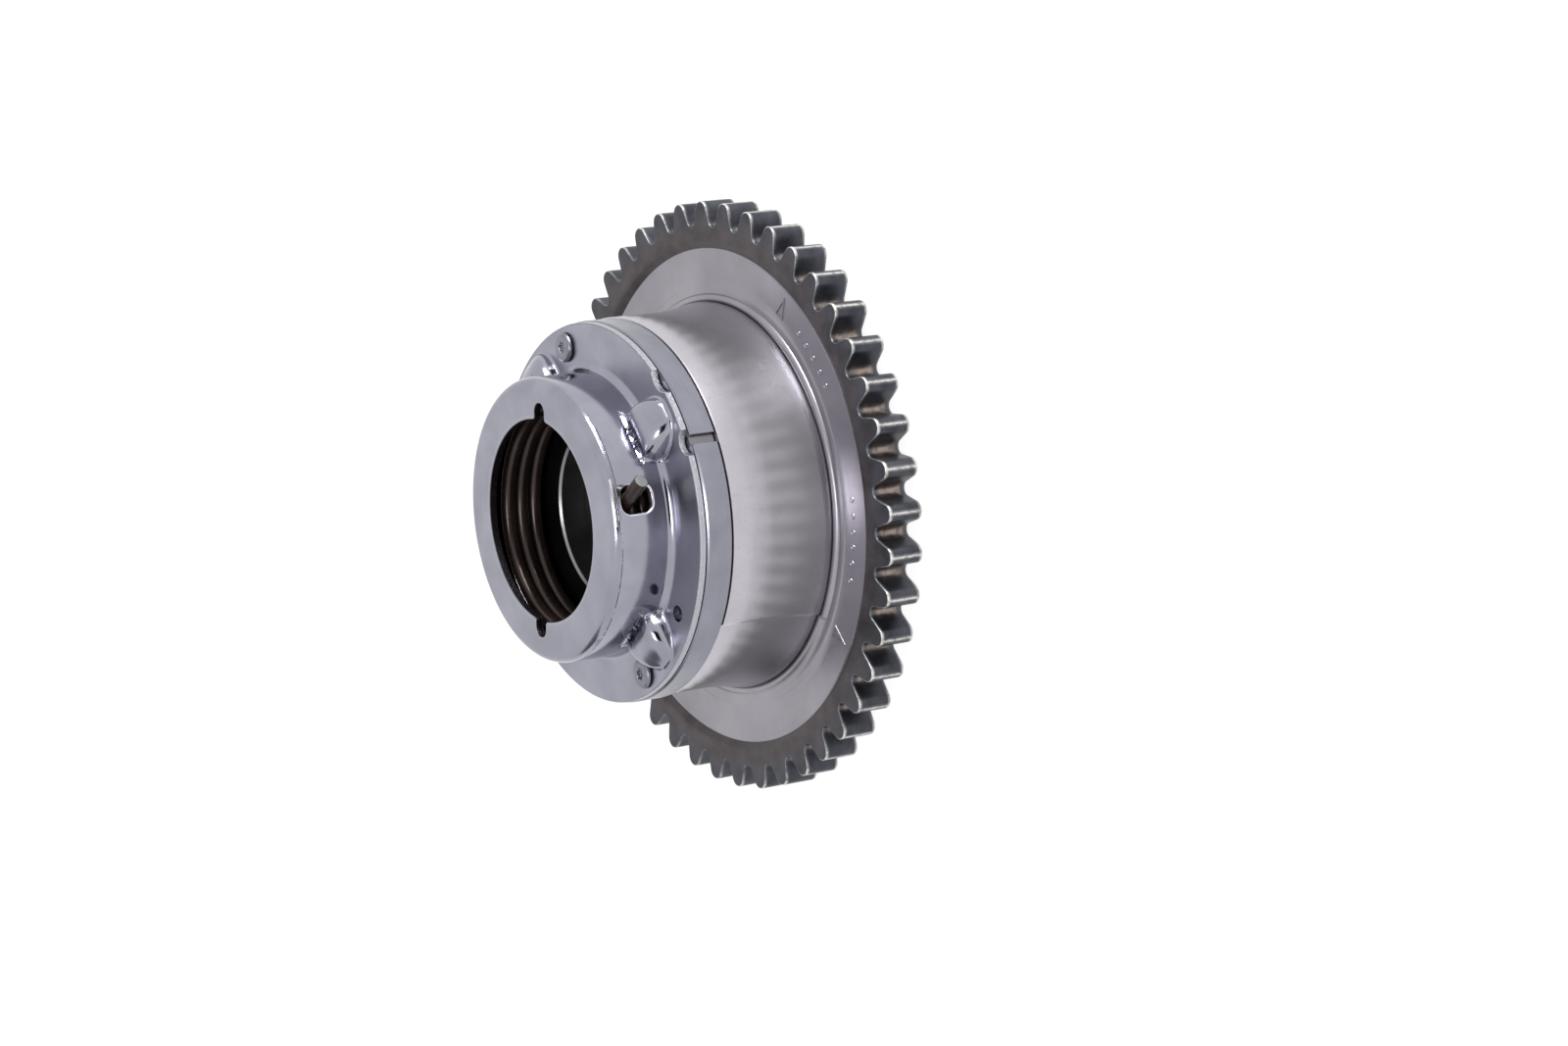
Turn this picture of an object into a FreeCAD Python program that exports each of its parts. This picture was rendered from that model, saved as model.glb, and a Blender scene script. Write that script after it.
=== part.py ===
import FreeCAD, Part
import math
import os

# Vane type cam phaser: chain sprocket and barrel housing, rotor with sealed vanes, lock pin,
# two closing plates, and a pressed cover that holds a torsion spring.
# Millimetres. +Z is the axis, out of the cover's mouth. The origin is the centre of the flat back.
# Angles are degrees about +Z from +X.

Vector = FreeCAD.Vector
Z_AXIS = Vector(0, 0, 1)
CENTRE = Vector(0, 0, 0)

# Sprocket for an inverted-tooth chain of 8 mm pitch
tooth_count = 44
tip_radius = 56.0
tip_rounding = 1.8
tooth_depth = 4.8
root_rounding = 1.3
rim_width = 7.0
first_tip_angle = 7.0

# Web between the rim and the barrel
rim_band = 9.0
web_thickness = 5.8
web_step_offset = 4.2
web_step_height = 0.2
bead_offset = 1.7
bead_width = 1.2
bead_height = 0.8

# Barrel
barrel_wall = 4.9
barrel_front = 27.1
flare_height = 11.6
flare_growth = 1.2
relief_depth = 0.6
relief_from = -132.0
relief_to = -26.0

# Chambers and rotor
chamber_radius = 31.0
vane_reach = 11.2
chamber_count = 4
lobe_angle = 37.0
phase_range = 25.0
stop_margin = 0.5
first_lobe_angle = 45.0
radial_gap = 0.05
face_gap = 0.05
narrow_vane_angle = 17.0
corner_radius = 1.0

# Back plate, let into the sprocket's back
back_recess_ledge = 2.4
back_plate_thickness = 5.8
back_bore_lip = 3.4
fit_gap = 0.02

# Front plate
front_plate_setback = 0.2
front_plate_thickness = 5.3
front_bore_lip = 3.5
bore_chamfer = 0.4
edge_chamfer = 0.3
mark_groove_angle = 32.0
mark_groove_width = 1.8
mark_groove_depth = 0.8

# Rotor hub
bolt_bore_radius = 9.0
bolt_seat_radius = 11.0
bolt_seat_depth = 1.0
pilot_wall = 2.4
pilot_depth = 5.0
spigot_start = 2.0
cam_dowel_hole_radius = 1.75
cam_dowel_depth = 5.0
oil_hole_radius = 1.25
oil_hole_offset = 3.0
oil_hole_overrun = 1.0
retard_port_height = 11.5
advance_port_height = 20.0

# Tip seals of the vanes and lobes
seal_width = 2.0
seal_height = 2.6
seal_side_gap = 0.04
seal_end_gap = 0.1
seal_contact_gap = 0.02
seal_spring_space = 0.8
seal_spring_strip = 0.2
seal_spring_width = 1.6
seal_spring_length = 18.0

# Lock pin
pin_radius = 3.5
pin_nose_radius = 3.0
pin_nose_length = 6.5
pin_gap = 0.04
pin_pocket_radius = 2.3
pin_pocket_depth = 7.0
lock_depth = 3.0
pin_free_travel = 0.8
pin_cap_length = 4.7
pin_cap_thickness = 1.2
pin_cap_wall = 1.0
pin_vent_radius = 0.75
lock_bush_radius = 4.6
lock_bush_length = 4.0
lock_bush_gap = 0.15
lock_spring_wire = 0.5
lock_spring_turns = 7

# Clamp bolts and locating dowels
bolt_inset = 3.5
bolt_radius = 2.5
bolt_head_radius = 4.2
bolt_head_height = 3.0
bolt_head_gap = 0.4
bolt_socket_radius = 2.2
bolt_socket_depth = 1.8
bolt_end_gap = 0.6
dowel_inset = 1.6
dowel_offset = 12.5
dowel_radius = 1.5
dowel_length = 8.0

# Spring cover, drawn from sheet
sheet = 1.5
cover_flange_setback = 0.2
cover_flange_width = 9.0
cover_height = 13.8
cover_corner_radius = 2.5
cover_foot_radius = 1.5
cover_face_width = 7.7
mouth_notch_depth = 3.2
mouth_notch_width = 3.7
gusset_angles = (43.5, 130.5, 223.5, 316.5)
gusset_radius = 7.0
gusset_offset = 1.8
gusset_sink = 1.7
gusset_crease_height = 5.5
gusset_crease_depth = 1.1
gusset_crease_width = 1.5
gusset_crease_length = 14.5
scallops = ((52.8, 5.8, 1.5), (31.3, 4.8, 1.9))
wire_slot_angle = 17.75
wire_slot_width = 5.2
wire_slot_height = 6.5
wire_slot_centre = 8.35
wire_slot_corner = 1.9
pin_hole_angle = -25.65
pin_hole_inset = 4.6
pin_hole_radius = 1.5

# Cover screws
screw_angles = (110.35, 205.75, 301.15)
screw_inset = 3.9
screw_radius = 1.5
screw_length = 5.5
screw_head_radius = 2.8
screw_head_height = 1.0
screw_seat_gap = 0.1
screw_recess_radius = 1.0
screw_recess_depth = 0.6

# Torsion spring
wire_diameter = 2.7
coil_wall_gap = 2.45
coil_pitch = 2.85
coil_front = 9.95
coil_front_angle = 7.5
coil_seat_gap = 0.12
tang_direction = 46.0
tang_drop_angle = 4.0
tang_bend_radius = 3.4
tang_length = 8.9
leg_bend_radius = 3.6
leg_run = 1.2
leg_depth = 5.5
leg_gap = 0.1

# Radii worked out from the sizes above
root_radius = tip_radius - tooth_depth
web_radius = tip_radius - rim_band
hub_radius = chamber_radius - vane_reach
barrel_radius = chamber_radius + barrel_wall
bead_radius = barrel_radius + bead_offset
web_step_radius = barrel_radius + web_step_offset
back_recess_radius = chamber_radius + back_recess_ledge
back_bore_radius = hub_radius - back_bore_lip
front_plate_radius = barrel_radius - front_plate_setback
front_bore_radius = hub_radius - front_bore_lip
pilot_radius = back_bore_radius - pilot_wall
cam_dowel_circle = (bolt_bore_radius + pilot_radius) / 2
pin_circle = (hub_radius + chamber_radius) / 2
bolt_circle = chamber_radius - bolt_inset
dowel_circle = chamber_radius - dowel_inset
cover_flange_radius = front_plate_radius - cover_flange_setback
cover_wall_radius = cover_flange_radius - cover_flange_width
mouth_radius = cover_wall_radius - cover_face_width
mouth_notch_reach = mouth_radius + mouth_notch_depth
gusset_circle = cover_wall_radius + gusset_offset
pin_hole_circle = cover_flange_radius - pin_hole_inset
screw_circle = cover_flange_radius - screw_inset
wire_radius = wire_diameter / 2
coil_radius = cover_wall_radius - sheet - wire_radius - coil_wall_gap

# Heights and places worked out from the sizes above
front_plate_front = barrel_front + front_plate_thickness
cover_face = front_plate_front + cover_height
chamber_floor = back_plate_thickness
rotor_back = chamber_floor + face_gap
rotor_front = barrel_front - face_gap
pin_top = rotor_front - pin_cap_length - pin_gap - pin_free_travel
chamber_pitch = 360.0 / chamber_count
wide_vane_angle = chamber_pitch - lobe_angle - phase_range - 2 * stop_margin
first_chamber_angle = first_lobe_angle - chamber_pitch / 2
rest_shift = -phase_range / 2
seal_slot_depth = seal_height + seal_spring_space
lock_vane = chamber_count // 2
seal_mid = (rotor_back + rotor_front) / 2


def polar(radius, angle, height=0.0):
    """A point given by its distance from the axis, its angle and its height."""
    turn = math.radians(angle)
    return Vector(radius * math.cos(turn), radius * math.sin(turn), height)


def cylinder(radius, bottom, top, place=None):
    """A round bar along the axis, or along a parallel line through place."""
    base = Vector(0, 0, bottom)
    if place is not None:
        base = Vector(place.x, place.y, bottom)
    return Part.makeCylinder(radius, top - bottom, base, Z_AXIS)


def revolved(corners, angle=360.0, start=0.0):
    """A closed outline of (radius, height) corners turned about the axis."""
    points = [Vector(radius, 0, height) for radius, height in corners]
    face = Part.Face(Part.makePolygon(points + points[:1]))
    solid = face.revolve(CENTRE, Z_AXIS, angle)
    if start:
        solid.rotate(CENTRE, Z_AXIS, start)
    return solid


def extruded(edges, bottom, top):
    """A closed chain of edges at height 0, raised from bottom to top."""
    face = Part.Face(Part.Wire(edges))
    face.translate(Vector(0, 0, bottom))
    return face.extrude(Vector(0, 0, top - bottom))


def sector(inner, outer, angle, width, bottom, top):
    """A ring sector centred on an angle."""
    corners = [(inner, bottom), (outer, bottom), (outer, top), (inner, top)]
    return revolved(corners, width, angle - width / 2)


def block(angle, inner, outer, width, bottom, top):
    """A square bar that lies along a radius, from inner to outer."""
    solid = Part.makeBox(outer - inner, width, top - bottom, Vector(inner, -width / 2, bottom))
    solid.rotate(CENTRE, Z_AXIS, angle)
    return solid


def lobe_angles():
    return [first_lobe_angle + chamber_pitch * index for index in range(chamber_count)]


def vane_angles():
    """Middles of the vanes at rest, turned back against one side of their chambers."""
    first = first_chamber_angle + rest_shift
    return [first + chamber_pitch * index for index in range(chamber_count)]


def save(name, shape):
    shape.exportStep("parts/" + name + ".step")


def tooth_edges():
    """Sprocket outline: round roots and round tips joined by straight flanks that touch both."""
    step = 360.0 / tooth_count
    edges = []
    for index in range(tooth_count):
        tip = first_tip_angle + step * index
        tip_start, root_end = flank(tip, tip - step / 2)
        tip_end, root_start = flank(tip, tip + step / 2)
        next_root_end = flank(tip + step, tip + step / 2)[1]
        edges.append(Part.LineSegment(root_end, tip_start).toShape())
        edges.append(Part.Arc(tip_start, polar(tip_radius, tip), tip_end).toShape())
        edges.append(Part.LineSegment(tip_end, root_start).toShape())
        edges.append(Part.Arc(root_start, polar(root_radius, tip + step / 2), next_root_end).toShape())
    return edges


def flank(tip, root):
    """The two ends of the straight line that touches a tip's round and a root's round."""
    tip_centre = polar(tip_radius - tip_rounding, tip)
    root_centre = polar(root_radius + root_rounding, root)
    between = root_centre - tip_centre
    swing = math.degrees(math.acos((tip_rounding + root_rounding) / between.Length))
    heading = math.degrees(math.atan2(between.y, between.x))
    side = 1 if root < tip else -1
    outward = polar(1.0, heading + side * swing)
    return tip_centre + outward * tip_rounding, root_centre - outward * root_rounding


def barrel_profile(inset):
    """Outer line of bead, flare and barrel as (radius, height) corners, moved in by inset."""
    flare_steps = 6
    corners = [
        (bead_radius + bead_width - inset, web_thickness),
        (bead_radius + bead_width / 2 - inset, web_thickness + bead_height * 0.85),
        (bead_radius - inset, web_thickness + bead_height),
        (bead_radius - bead_width / 3 - inset, web_thickness + bead_height * 0.85),
    ]
    foot = web_thickness + bead_height * 1.4
    for index in range(flare_steps + 1):
        share = index / flare_steps
        radius = barrel_radius + flare_growth * (1 - share) ** 2 - inset
        corners.append((radius, foot + flare_height * share))
    corners.append((barrel_radius - inset, barrel_front - edge_chamfer))
    corners.append((barrel_radius - edge_chamfer - inset, barrel_front))
    return corners


def sprocket_housing():
    """Toothed rim, web and barrel with the chamber lobes inside, sintered in one piece."""
    ring = extruded(tooth_edges(), 0, rim_width)
    bevel = rim_width - web_thickness
    dish = [
        (0, web_thickness),
        (web_radius, web_thickness),
        (web_radius + bevel, rim_width),
        (web_radius + bevel, rim_width + 1),
        (0, rim_width + 1),
    ]
    body = ring.cut(revolved(dish))
    step = [
        (barrel_radius, web_thickness - web_step_height),
        (web_step_radius, web_thickness - web_step_height),
        (web_step_radius, web_thickness + web_step_height),
        (web_step_radius - web_step_height, web_thickness + web_step_height),
        (barrel_radius, web_thickness + web_step_height),
    ]
    body = body.fuse(revolved(step))
    barrel = [(back_recess_radius, web_thickness / 2)]
    barrel += [(bead_radius + bead_width, web_thickness / 2)]
    barrel += barrel_profile(0) + [(back_recess_radius, barrel_front)]
    body = body.fuse(revolved(barrel))
    relief = [(bead_radius + 2 * bead_width, web_thickness + web_step_height)]
    relief += [(radius, max(height, web_thickness + web_step_height)) for radius, height in barrel_profile(relief_depth)]
    relief += [(bead_radius + 2 * bead_width, barrel_front)]
    body = body.cut(revolved(relief, relief_to - relief_from, relief_from))
    body = body.fuse(cylinder(barrel_radius - 1, web_thickness / 2, barrel_front))
    body = body.cut(cylinder(back_recess_radius, 0, chamber_floor))
    body = body.cut(cylinder(chamber_radius, 0, barrel_front))
    for angle in lobe_angles():
        body = body.fuse(lobe(angle))
    for angle in lobe_angles():
        hole = polar(bolt_circle, angle)
        body = body.cut(cylinder(bolt_radius + bolt_head_gap, 0, barrel_front, hole))
        seat = hub_radius + radial_gap
        body = body.cut(block(angle, seat - 1, seat + seal_slot_depth, seal_width, 0, barrel_front))
    dowel = polar(dowel_circle, first_lobe_angle + dowel_offset)
    body = body.cut(cylinder(dowel_radius + fit_gap, 0, chamber_floor + dowel_length / 2 + fit_gap, dowel))
    body = body.cut(cylinder(dowel_radius + fit_gap, barrel_front - dowel_length / 2 - fit_gap, barrel_front, dowel))
    return body.removeSplitter()


def lobe(angle):
    """One inward lobe, its tip turned to the rotor's hub and its corners to the chamber rounded."""
    inner = hub_radius + radial_gap
    solid = sector(inner, chamber_radius + 1, angle, lobe_angle, chamber_floor, barrel_front)
    uprights = [edge for edge in solid.Edges if is_upright(edge, inner)]
    return solid.makeFillet(corner_radius, uprights)


def is_upright(edge, radius):
    """True for a straight edge along the axis that stands at the given radius."""
    first, last = edge.Vertexes[0].Point, edge.Vertexes[-1].Point
    upright = abs(first.z - last.z) > 1 and math.hypot(first.x - last.x, first.y - last.y) < 0.01
    return upright and abs(math.hypot(first.x, first.y) - radius) < 0.01


def back_plate():
    """Closes the chambers at the camshaft side, and carries the bolt heads in counterbores."""
    plate = cylinder(back_recess_radius - fit_gap, 0, chamber_floor)
    plate = plate.cut(cylinder(back_bore_radius, 0, chamber_floor))
    for angle in lobe_angles():
        hole = polar(bolt_circle, angle)
        plate = plate.cut(cylinder(bolt_radius + fit_gap, 0, chamber_floor, hole))
        counterbore = cylinder(bolt_head_radius + bolt_head_gap, 0, bolt_head_height + bolt_head_gap, hole)
        plate = plate.cut(counterbore)
    bush = polar(pin_circle, vane_angles()[lock_vane])
    plate = plate.cut(cylinder(lock_bush_radius + fit_gap, chamber_floor - lock_bush_length, chamber_floor, bush))
    plate = plate.cut(cylinder(pin_vent_radius, 0, chamber_floor, bush))
    dowel = polar(dowel_circle, first_lobe_angle + dowel_offset)
    bottom = chamber_floor - dowel_length / 2 - fit_gap
    plate = plate.cut(cylinder(dowel_radius + fit_gap, bottom, chamber_floor, dowel))
    rims = [edge for edge in plate.Edges if is_rim(edge, back_recess_radius - fit_gap, 0)]
    rims += [edge for edge in plate.Edges if is_rim(edge, back_bore_radius, 0)]
    return plate.makeChamfer(edge_chamfer, rims)


def is_rim(edge, radius, height):
    """True for a full circle about the axis with the given radius and height."""
    curve = edge.Curve
    if not isinstance(curve, Part.Circle) or len(edge.Vertexes) != 1:
        return False
    on_axis = math.hypot(curve.Center.x, curve.Center.y) < 0.01
    return on_axis and abs(curve.Radius - radius) < 0.01 and abs(curve.Center.z - height) < 0.01


def front_plate():
    """Turned ring that closes the front, tapped for the clamp bolts and the cover screws."""
    plate = cylinder(front_plate_radius, barrel_front, front_plate_front)
    plate = plate.cut(cylinder(front_bore_radius, barrel_front, front_plate_front))
    rims = [edge for edge in plate.Edges if is_rim(edge, front_bore_radius, front_plate_front)]
    plate = plate.makeChamfer(bore_chamfer, rims)
    rims = [edge for edge in plate.Edges if is_rim(edge, front_plate_radius, front_plate_front)]
    rims += [edge for edge in plate.Edges if is_rim(edge, front_plate_radius, barrel_front)]
    plate = plate.makeChamfer(edge_chamfer, rims)
    groove = block(
        mark_groove_angle,
        front_plate_radius - mark_groove_depth,
        front_plate_radius + 1,
        mark_groove_width,
        barrel_front,
        front_plate_front,
    )
    plate = plate.cut(groove)
    for angle in lobe_angles():
        hole = polar(bolt_circle, angle)
        plate = plate.cut(cylinder(bolt_radius + fit_gap, barrel_front, front_plate_front, hole))
    for angle in screw_angles:
        hole = polar(screw_circle, angle)
        bottom = front_plate_front + sheet - screw_length - fit_gap
        plate = plate.cut(cylinder(screw_radius + fit_gap, bottom, front_plate_front, hole))
    hole = polar(pin_hole_circle, pin_hole_angle)
    plate = plate.cut(cylinder(pin_hole_radius, barrel_front + sheet, front_plate_front, hole))
    dowel = polar(dowel_circle, first_lobe_angle + dowel_offset)
    top = barrel_front + dowel_length / 2 + fit_gap
    return plate.cut(cylinder(dowel_radius + fit_gap, barrel_front, top, dowel))


def cover_skin(inset):
    """The cover's outer skin as one solid of revolution, moved in by inset from the sheet's outside."""
    top = cover_face - inset
    flange_top = front_plate_front + sheet - inset
    wall = cover_wall_radius - inset
    corner = cover_corner_radius - inset
    foot = cover_foot_radius + inset
    edges = [
        Part.LineSegment(Vector(0, 0, flange_top), Vector(0, 0, top)).toShape(),
        Part.LineSegment(Vector(0, 0, top), Vector(wall - corner, 0, top)).toShape(),
        quarter_arc(wall - corner, top - corner, corner, 90, 0),
        Part.LineSegment(Vector(wall, 0, top - corner), Vector(wall, 0, flange_top + foot)).toShape(),
        quarter_arc(wall + foot, flange_top + foot, foot, 180, 270),
        Part.LineSegment(Vector(wall + foot, 0, flange_top), Vector(0, 0, flange_top)).toShape(),
    ]
    return Part.Face(Part.Wire(edges)).revolve(CENTRE, Z_AXIS, 360)


def quarter_arc(radius, height, size, first, last):
    """An arc in the plane of radius and height, about (radius, height)."""
    points = []
    for angle in (first, (first + last) / 2, last):
        turn = math.radians(angle)
        points.append(Vector(radius + size * math.cos(turn), 0, height + size * math.sin(turn)))
    return Part.Arc(*points).toShape()


def gusset_ball(angle, inset):
    """Ball that the stiffening gusset is pressed to, moved in by inset."""
    place = polar(gusset_circle, angle, front_plate_front - gusset_sink)
    return Part.makeSphere(gusset_radius - inset, place)


def gusset_crease(angle, shift):
    """Wedge that creases the wall above a gusset along a straight chord."""
    chord = math.sqrt(cover_wall_radius ** 2 - (gusset_crease_length / 2) ** 2) + shift
    top = front_plate_front + gusset_crease_height
    points = [
        Vector(chord, 0, top),
        Vector(chord - gusset_crease_depth, 0, top - gusset_crease_width),
        Vector(chord + gusset_radius, 0, top - gusset_crease_width / 2),
        Vector(chord + gusset_radius, 0, top),
    ]
    face = Part.Face(Part.makePolygon(points + points[:1]))
    solid = face.extrude(Vector(0, gusset_crease_length * 1.5, 0))
    solid.translate(Vector(0, -gusset_crease_length * 0.75, 0))
    solid.rotate(CENTRE, Z_AXIS, angle)
    return solid


def spring_cover():
    """Drawn cover: flange, side wall, gussets, wire slot and notched mouth, all one sheet."""
    flange = cylinder(cover_flange_radius, front_plate_front, front_plate_front + sheet)
    outside = cover_skin(0).fuse(flange)
    inside = cover_skin(sheet)
    outside = outside.cut([gusset_crease(angle, 0) for angle in gusset_angles])
    inside = inside.cut([gusset_crease(angle, -sheet) for angle in gusset_angles])
    outside = outside.fuse([gusset_ball(angle, 0) for angle in gusset_angles])
    inside = inside.fuse([gusset_ball(angle, sheet) for angle in gusset_angles])
    cover = outside.cut(inside)
    cover = cover.cut(cylinder(cover_flange_radius + 1, 0, front_plate_front))
    cover = cover.cut(cylinder(cover_wall_radius - sheet, 0, front_plate_front + sheet))
    cover = cover.cut(cylinder(mouth_radius, front_plate_front, cover_face))
    for angle in (90, -90):
        notch_end = mouth_notch_reach - mouth_notch_width / 2
        cover = cover.cut(block(angle, 0, notch_end, mouth_notch_width, cover_face - 2 * sheet, cover_face))
        place = polar(notch_end, angle)
        cover = cover.cut(cylinder(mouth_notch_width / 2, cover_face - 2 * sheet, cover_face, place))
    for angle, width, depth in scallops:
        cover = cover.cut(scallop(angle, width, depth))
    for angle in screw_angles:
        hole = polar(screw_circle, angle)
        cover = cover.cut(cylinder(screw_radius + fit_gap, front_plate_front, front_plate_front + sheet, hole))
        seat = front_plate_front + sheet
        cover = cover.cut(cylinder(screw_head_radius + screw_seat_gap, seat, seat + 2 * screw_head_height, hole))
    hole = polar(pin_hole_circle, pin_hole_angle)
    cover = cover.cut(cylinder(pin_hole_radius, front_plate_front, front_plate_front + sheet, hole))
    return cover.cut(wire_slot())


def scallop(angle, width, depth):
    """A shallow round bite out of the flange's edge, as wide and deep as given."""
    radius = (width ** 2 / 4 + depth ** 2) / (2 * depth)
    place = polar(cover_flange_radius - depth + radius, angle)
    return cylinder(radius, front_plate_front, front_plate_front + sheet, place)


def wire_slot():
    """Round-cornered window through the side wall for the spring's outer end."""
    middle = front_plate_front + wire_slot_centre
    inner = coil_radius + wire_radius
    window = block(
        wire_slot_angle,
        inner,
        cover_wall_radius + 1,
        wire_slot_width,
        middle - wire_slot_height / 2,
        middle + wire_slot_height / 2,
    )
    direction = polar(1, wire_slot_angle)
    rounds = [edge for edge in window.Edges if is_along(edge, direction)]
    return window.makeFillet(wire_slot_corner, rounds)


def is_along(edge, direction):
    """True for a straight edge that runs the given way."""
    run = edge.Vertexes[-1].Point - edge.Vertexes[0].Point
    return abs(abs(run.dot(direction)) - run.Length) < 0.001


def cover_screws():
    """Low round heads with a small six-lobe recess, one solid each."""
    top = front_plate_front + sheet
    screws = []
    for angle in screw_angles:
        place = polar(screw_circle, angle)
        head = cylinder(screw_head_radius, top, top + screw_head_height, place)
        rims = [edge for edge in head.Edges if abs(edge.BoundBox.ZMin - top - screw_head_height) < 0.001]
        head = head.makeFillet(screw_head_height / 3, rims)
        shank = cylinder(screw_radius, top - screw_length, top, place)
        screw = head.fuse(shank)
        floor = top + screw_head_height - screw_recess_depth
        recess = cylinder(screw_recess_radius * 0.8, floor, floor + screw_recess_depth, place)
        for lobe_index in range(6):
            lobe_place = place + polar(screw_recess_radius * 0.8, 60 * lobe_index)
            lobe_hole = cylinder(screw_recess_radius * 0.25, floor, floor + screw_recess_depth, lobe_place)
            recess = recess.fuse(lobe_hole)
        screws.append(screw.cut(recess))
    return Part.makeCompound(screws)


def clamp_bolts():
    """Long bolts from the back plate through the lobes into the front plate, one solid each."""
    bolts = []
    for angle in lobe_angles():
        place = polar(bolt_circle, angle)
        seat = bolt_head_height + bolt_head_gap
        head = cylinder(bolt_head_radius, bolt_head_gap, seat, place)
        shank = cylinder(bolt_radius, bolt_head_gap, front_plate_front - bolt_end_gap, place)
        socket = cylinder(bolt_socket_radius, bolt_head_gap, bolt_head_gap + bolt_socket_depth, place)
        bolts.append(head.fuse(shank).cut(socket))
    return Part.makeCompound(bolts)


def rotor():
    """Hub with four vanes. One vane is wide: it carries the lock pin and meets the stops."""
    body = cylinder(hub_radius, rotor_back, rotor_front)
    for index, angle in enumerate(vane_angles()):
        width = wide_vane_angle if index == lock_vane else narrow_vane_angle
        vane = sector(hub_radius - 1, chamber_radius - radial_gap, angle, width, rotor_back, rotor_front)
        body = body.fuse(vane)
    body = body.fuse(cylinder(back_bore_radius - radial_gap, spigot_start, rotor_back))
    body = body.cut(cylinder(bolt_bore_radius, spigot_start, rotor_front))
    body = body.cut(cylinder(bolt_seat_radius, rotor_front - bolt_seat_depth, rotor_front))
    body = body.cut(cylinder(pilot_radius, spigot_start, spigot_start + pilot_depth))
    dowel = polar(cam_dowel_circle, 90)
    floor = spigot_start + pilot_depth
    body = body.cut(cylinder(cam_dowel_hole_radius, floor, floor + cam_dowel_depth, dowel))
    for index, angle in enumerate(vane_angles()):
        seal_outer = chamber_radius - radial_gap
        slot = block(
            angle if index != lock_vane else angle + lock_seal_shift(),
            seal_outer - seal_slot_depth,
            seal_outer + 1,
            seal_width,
            rotor_back,
            rotor_front,
        )
        body = body.cut(slot)
        width = wide_vane_angle if index == lock_vane else narrow_vane_angle
        shift = width / 2 + oil_hole_offset
        body = body.cut(oil_hole(angle - shift, retard_port_height))
        body = body.cut(oil_hole(angle + shift, advance_port_height))
    lock = polar(pin_circle, vane_angles()[lock_vane])
    shoulder = rotor_back + pin_nose_length - lock_depth
    body = body.cut(cylinder(pin_nose_radius + pin_gap, rotor_back, rotor_front, lock))
    body = body.cut(cylinder(pin_radius + pin_gap, shoulder, rotor_front, lock))
    leg = spring_leg_place()
    body = body.cut(cylinder(wire_radius + leg_gap, rotor_front - leg_depth - leg_gap, rotor_front, leg))
    return body.removeSplitter()


def lock_seal_shift():
    """The wide vane's seal stands beside the lock pin's hole, not over it."""
    return wide_vane_angle / 2 - math.degrees(1.5 * seal_width / chamber_radius)


def oil_hole(angle, height):
    """Radial drilling from the bolt bore out through the hub."""
    start = polar(bolt_bore_radius - oil_hole_overrun, angle, height)
    length = hub_radius - bolt_bore_radius + 2 * oil_hole_overrun
    return Part.makeCylinder(oil_hole_radius, length, start, polar(1, angle))


def vane_seal(angle):
    """Sealing bar in a vane's tip, its outer face turned to the chamber."""
    outer = chamber_radius - seal_contact_gap
    inner = outer - seal_height
    bar = block(
        angle,
        inner,
        chamber_radius + 1,
        seal_width - 2 * seal_side_gap,
        rotor_back + seal_end_gap,
        rotor_front - seal_end_gap,
    )
    return bar.common(cylinder(outer, 0, barrel_front))


def lobe_seal(angle):
    """Sealing bar in a lobe's tip, its inner face turned to the hub."""
    inner = hub_radius + seal_contact_gap
    bar = block(
        angle,
        hub_radius - 1,
        inner + seal_height,
        seal_width - 2 * seal_side_gap,
        chamber_floor + seal_end_gap,
        barrel_front - seal_end_gap,
    )
    return bar.cut(cylinder(inner, 0, barrel_front))


def seal_spring(angle, floor, facing):
    """Bowed strip of spring steel between a seal's slot and the seal."""
    rise = seal_spring_space - seal_spring_strip - 2 * seal_contact_gap
    half = seal_spring_length / 2
    lift = seal_contact_gap
    outer = [(lift, seal_mid - half), (lift + rise, seal_mid), (lift, seal_mid + half)]
    inner = [(radius + seal_spring_strip, height) for radius, height in outer]
    low, crest, high = [Vector(floor + facing * radius, 0, height) for radius, height in outer]
    low_top, crest_top, high_top = [Vector(floor + facing * radius, 0, height) for radius, height in inner]
    edges = [
        Part.Arc(low, crest, high).toShape(),
        Part.LineSegment(high, high_top).toShape(),
        Part.Arc(high_top, crest_top, low_top).toShape(),
        Part.LineSegment(low_top, low).toShape(),
    ]
    face = Part.Face(Part.Wire(edges))
    face.translate(Vector(0, -seal_spring_width / 2, 0))
    strip = face.extrude(Vector(0, seal_spring_width, 0))
    strip.rotate(CENTRE, Z_AXIS, angle)
    return strip


def lock_pin():
    """Stepped pin with a pocket for its spring, drawn back so that the rotor is free."""
    place = polar(pin_circle, vane_angles()[lock_vane])
    body = cylinder(pin_radius, rotor_back + pin_nose_length, pin_top, place)
    body = body.fuse(cylinder(pin_nose_radius, rotor_back, pin_top, place))
    return body.cut(cylinder(pin_pocket_radius, pin_top - pin_pocket_depth, pin_top, place))


def lock_pin_cap():
    """Pressed cap at the front of the pin's hole: spring seat and end stop, with a vent."""
    place = polar(pin_circle, vane_angles()[lock_vane])
    bottom = pin_top + pin_free_travel + pin_gap
    cap = cylinder(pin_radius + pin_gap - fit_gap, bottom, rotor_front, place)
    cap = cap.cut(cylinder(pin_radius - pin_cap_wall, bottom, rotor_front - pin_cap_thickness, place))
    return cap.cut(cylinder(pin_vent_radius, bottom, rotor_front, place))


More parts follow.
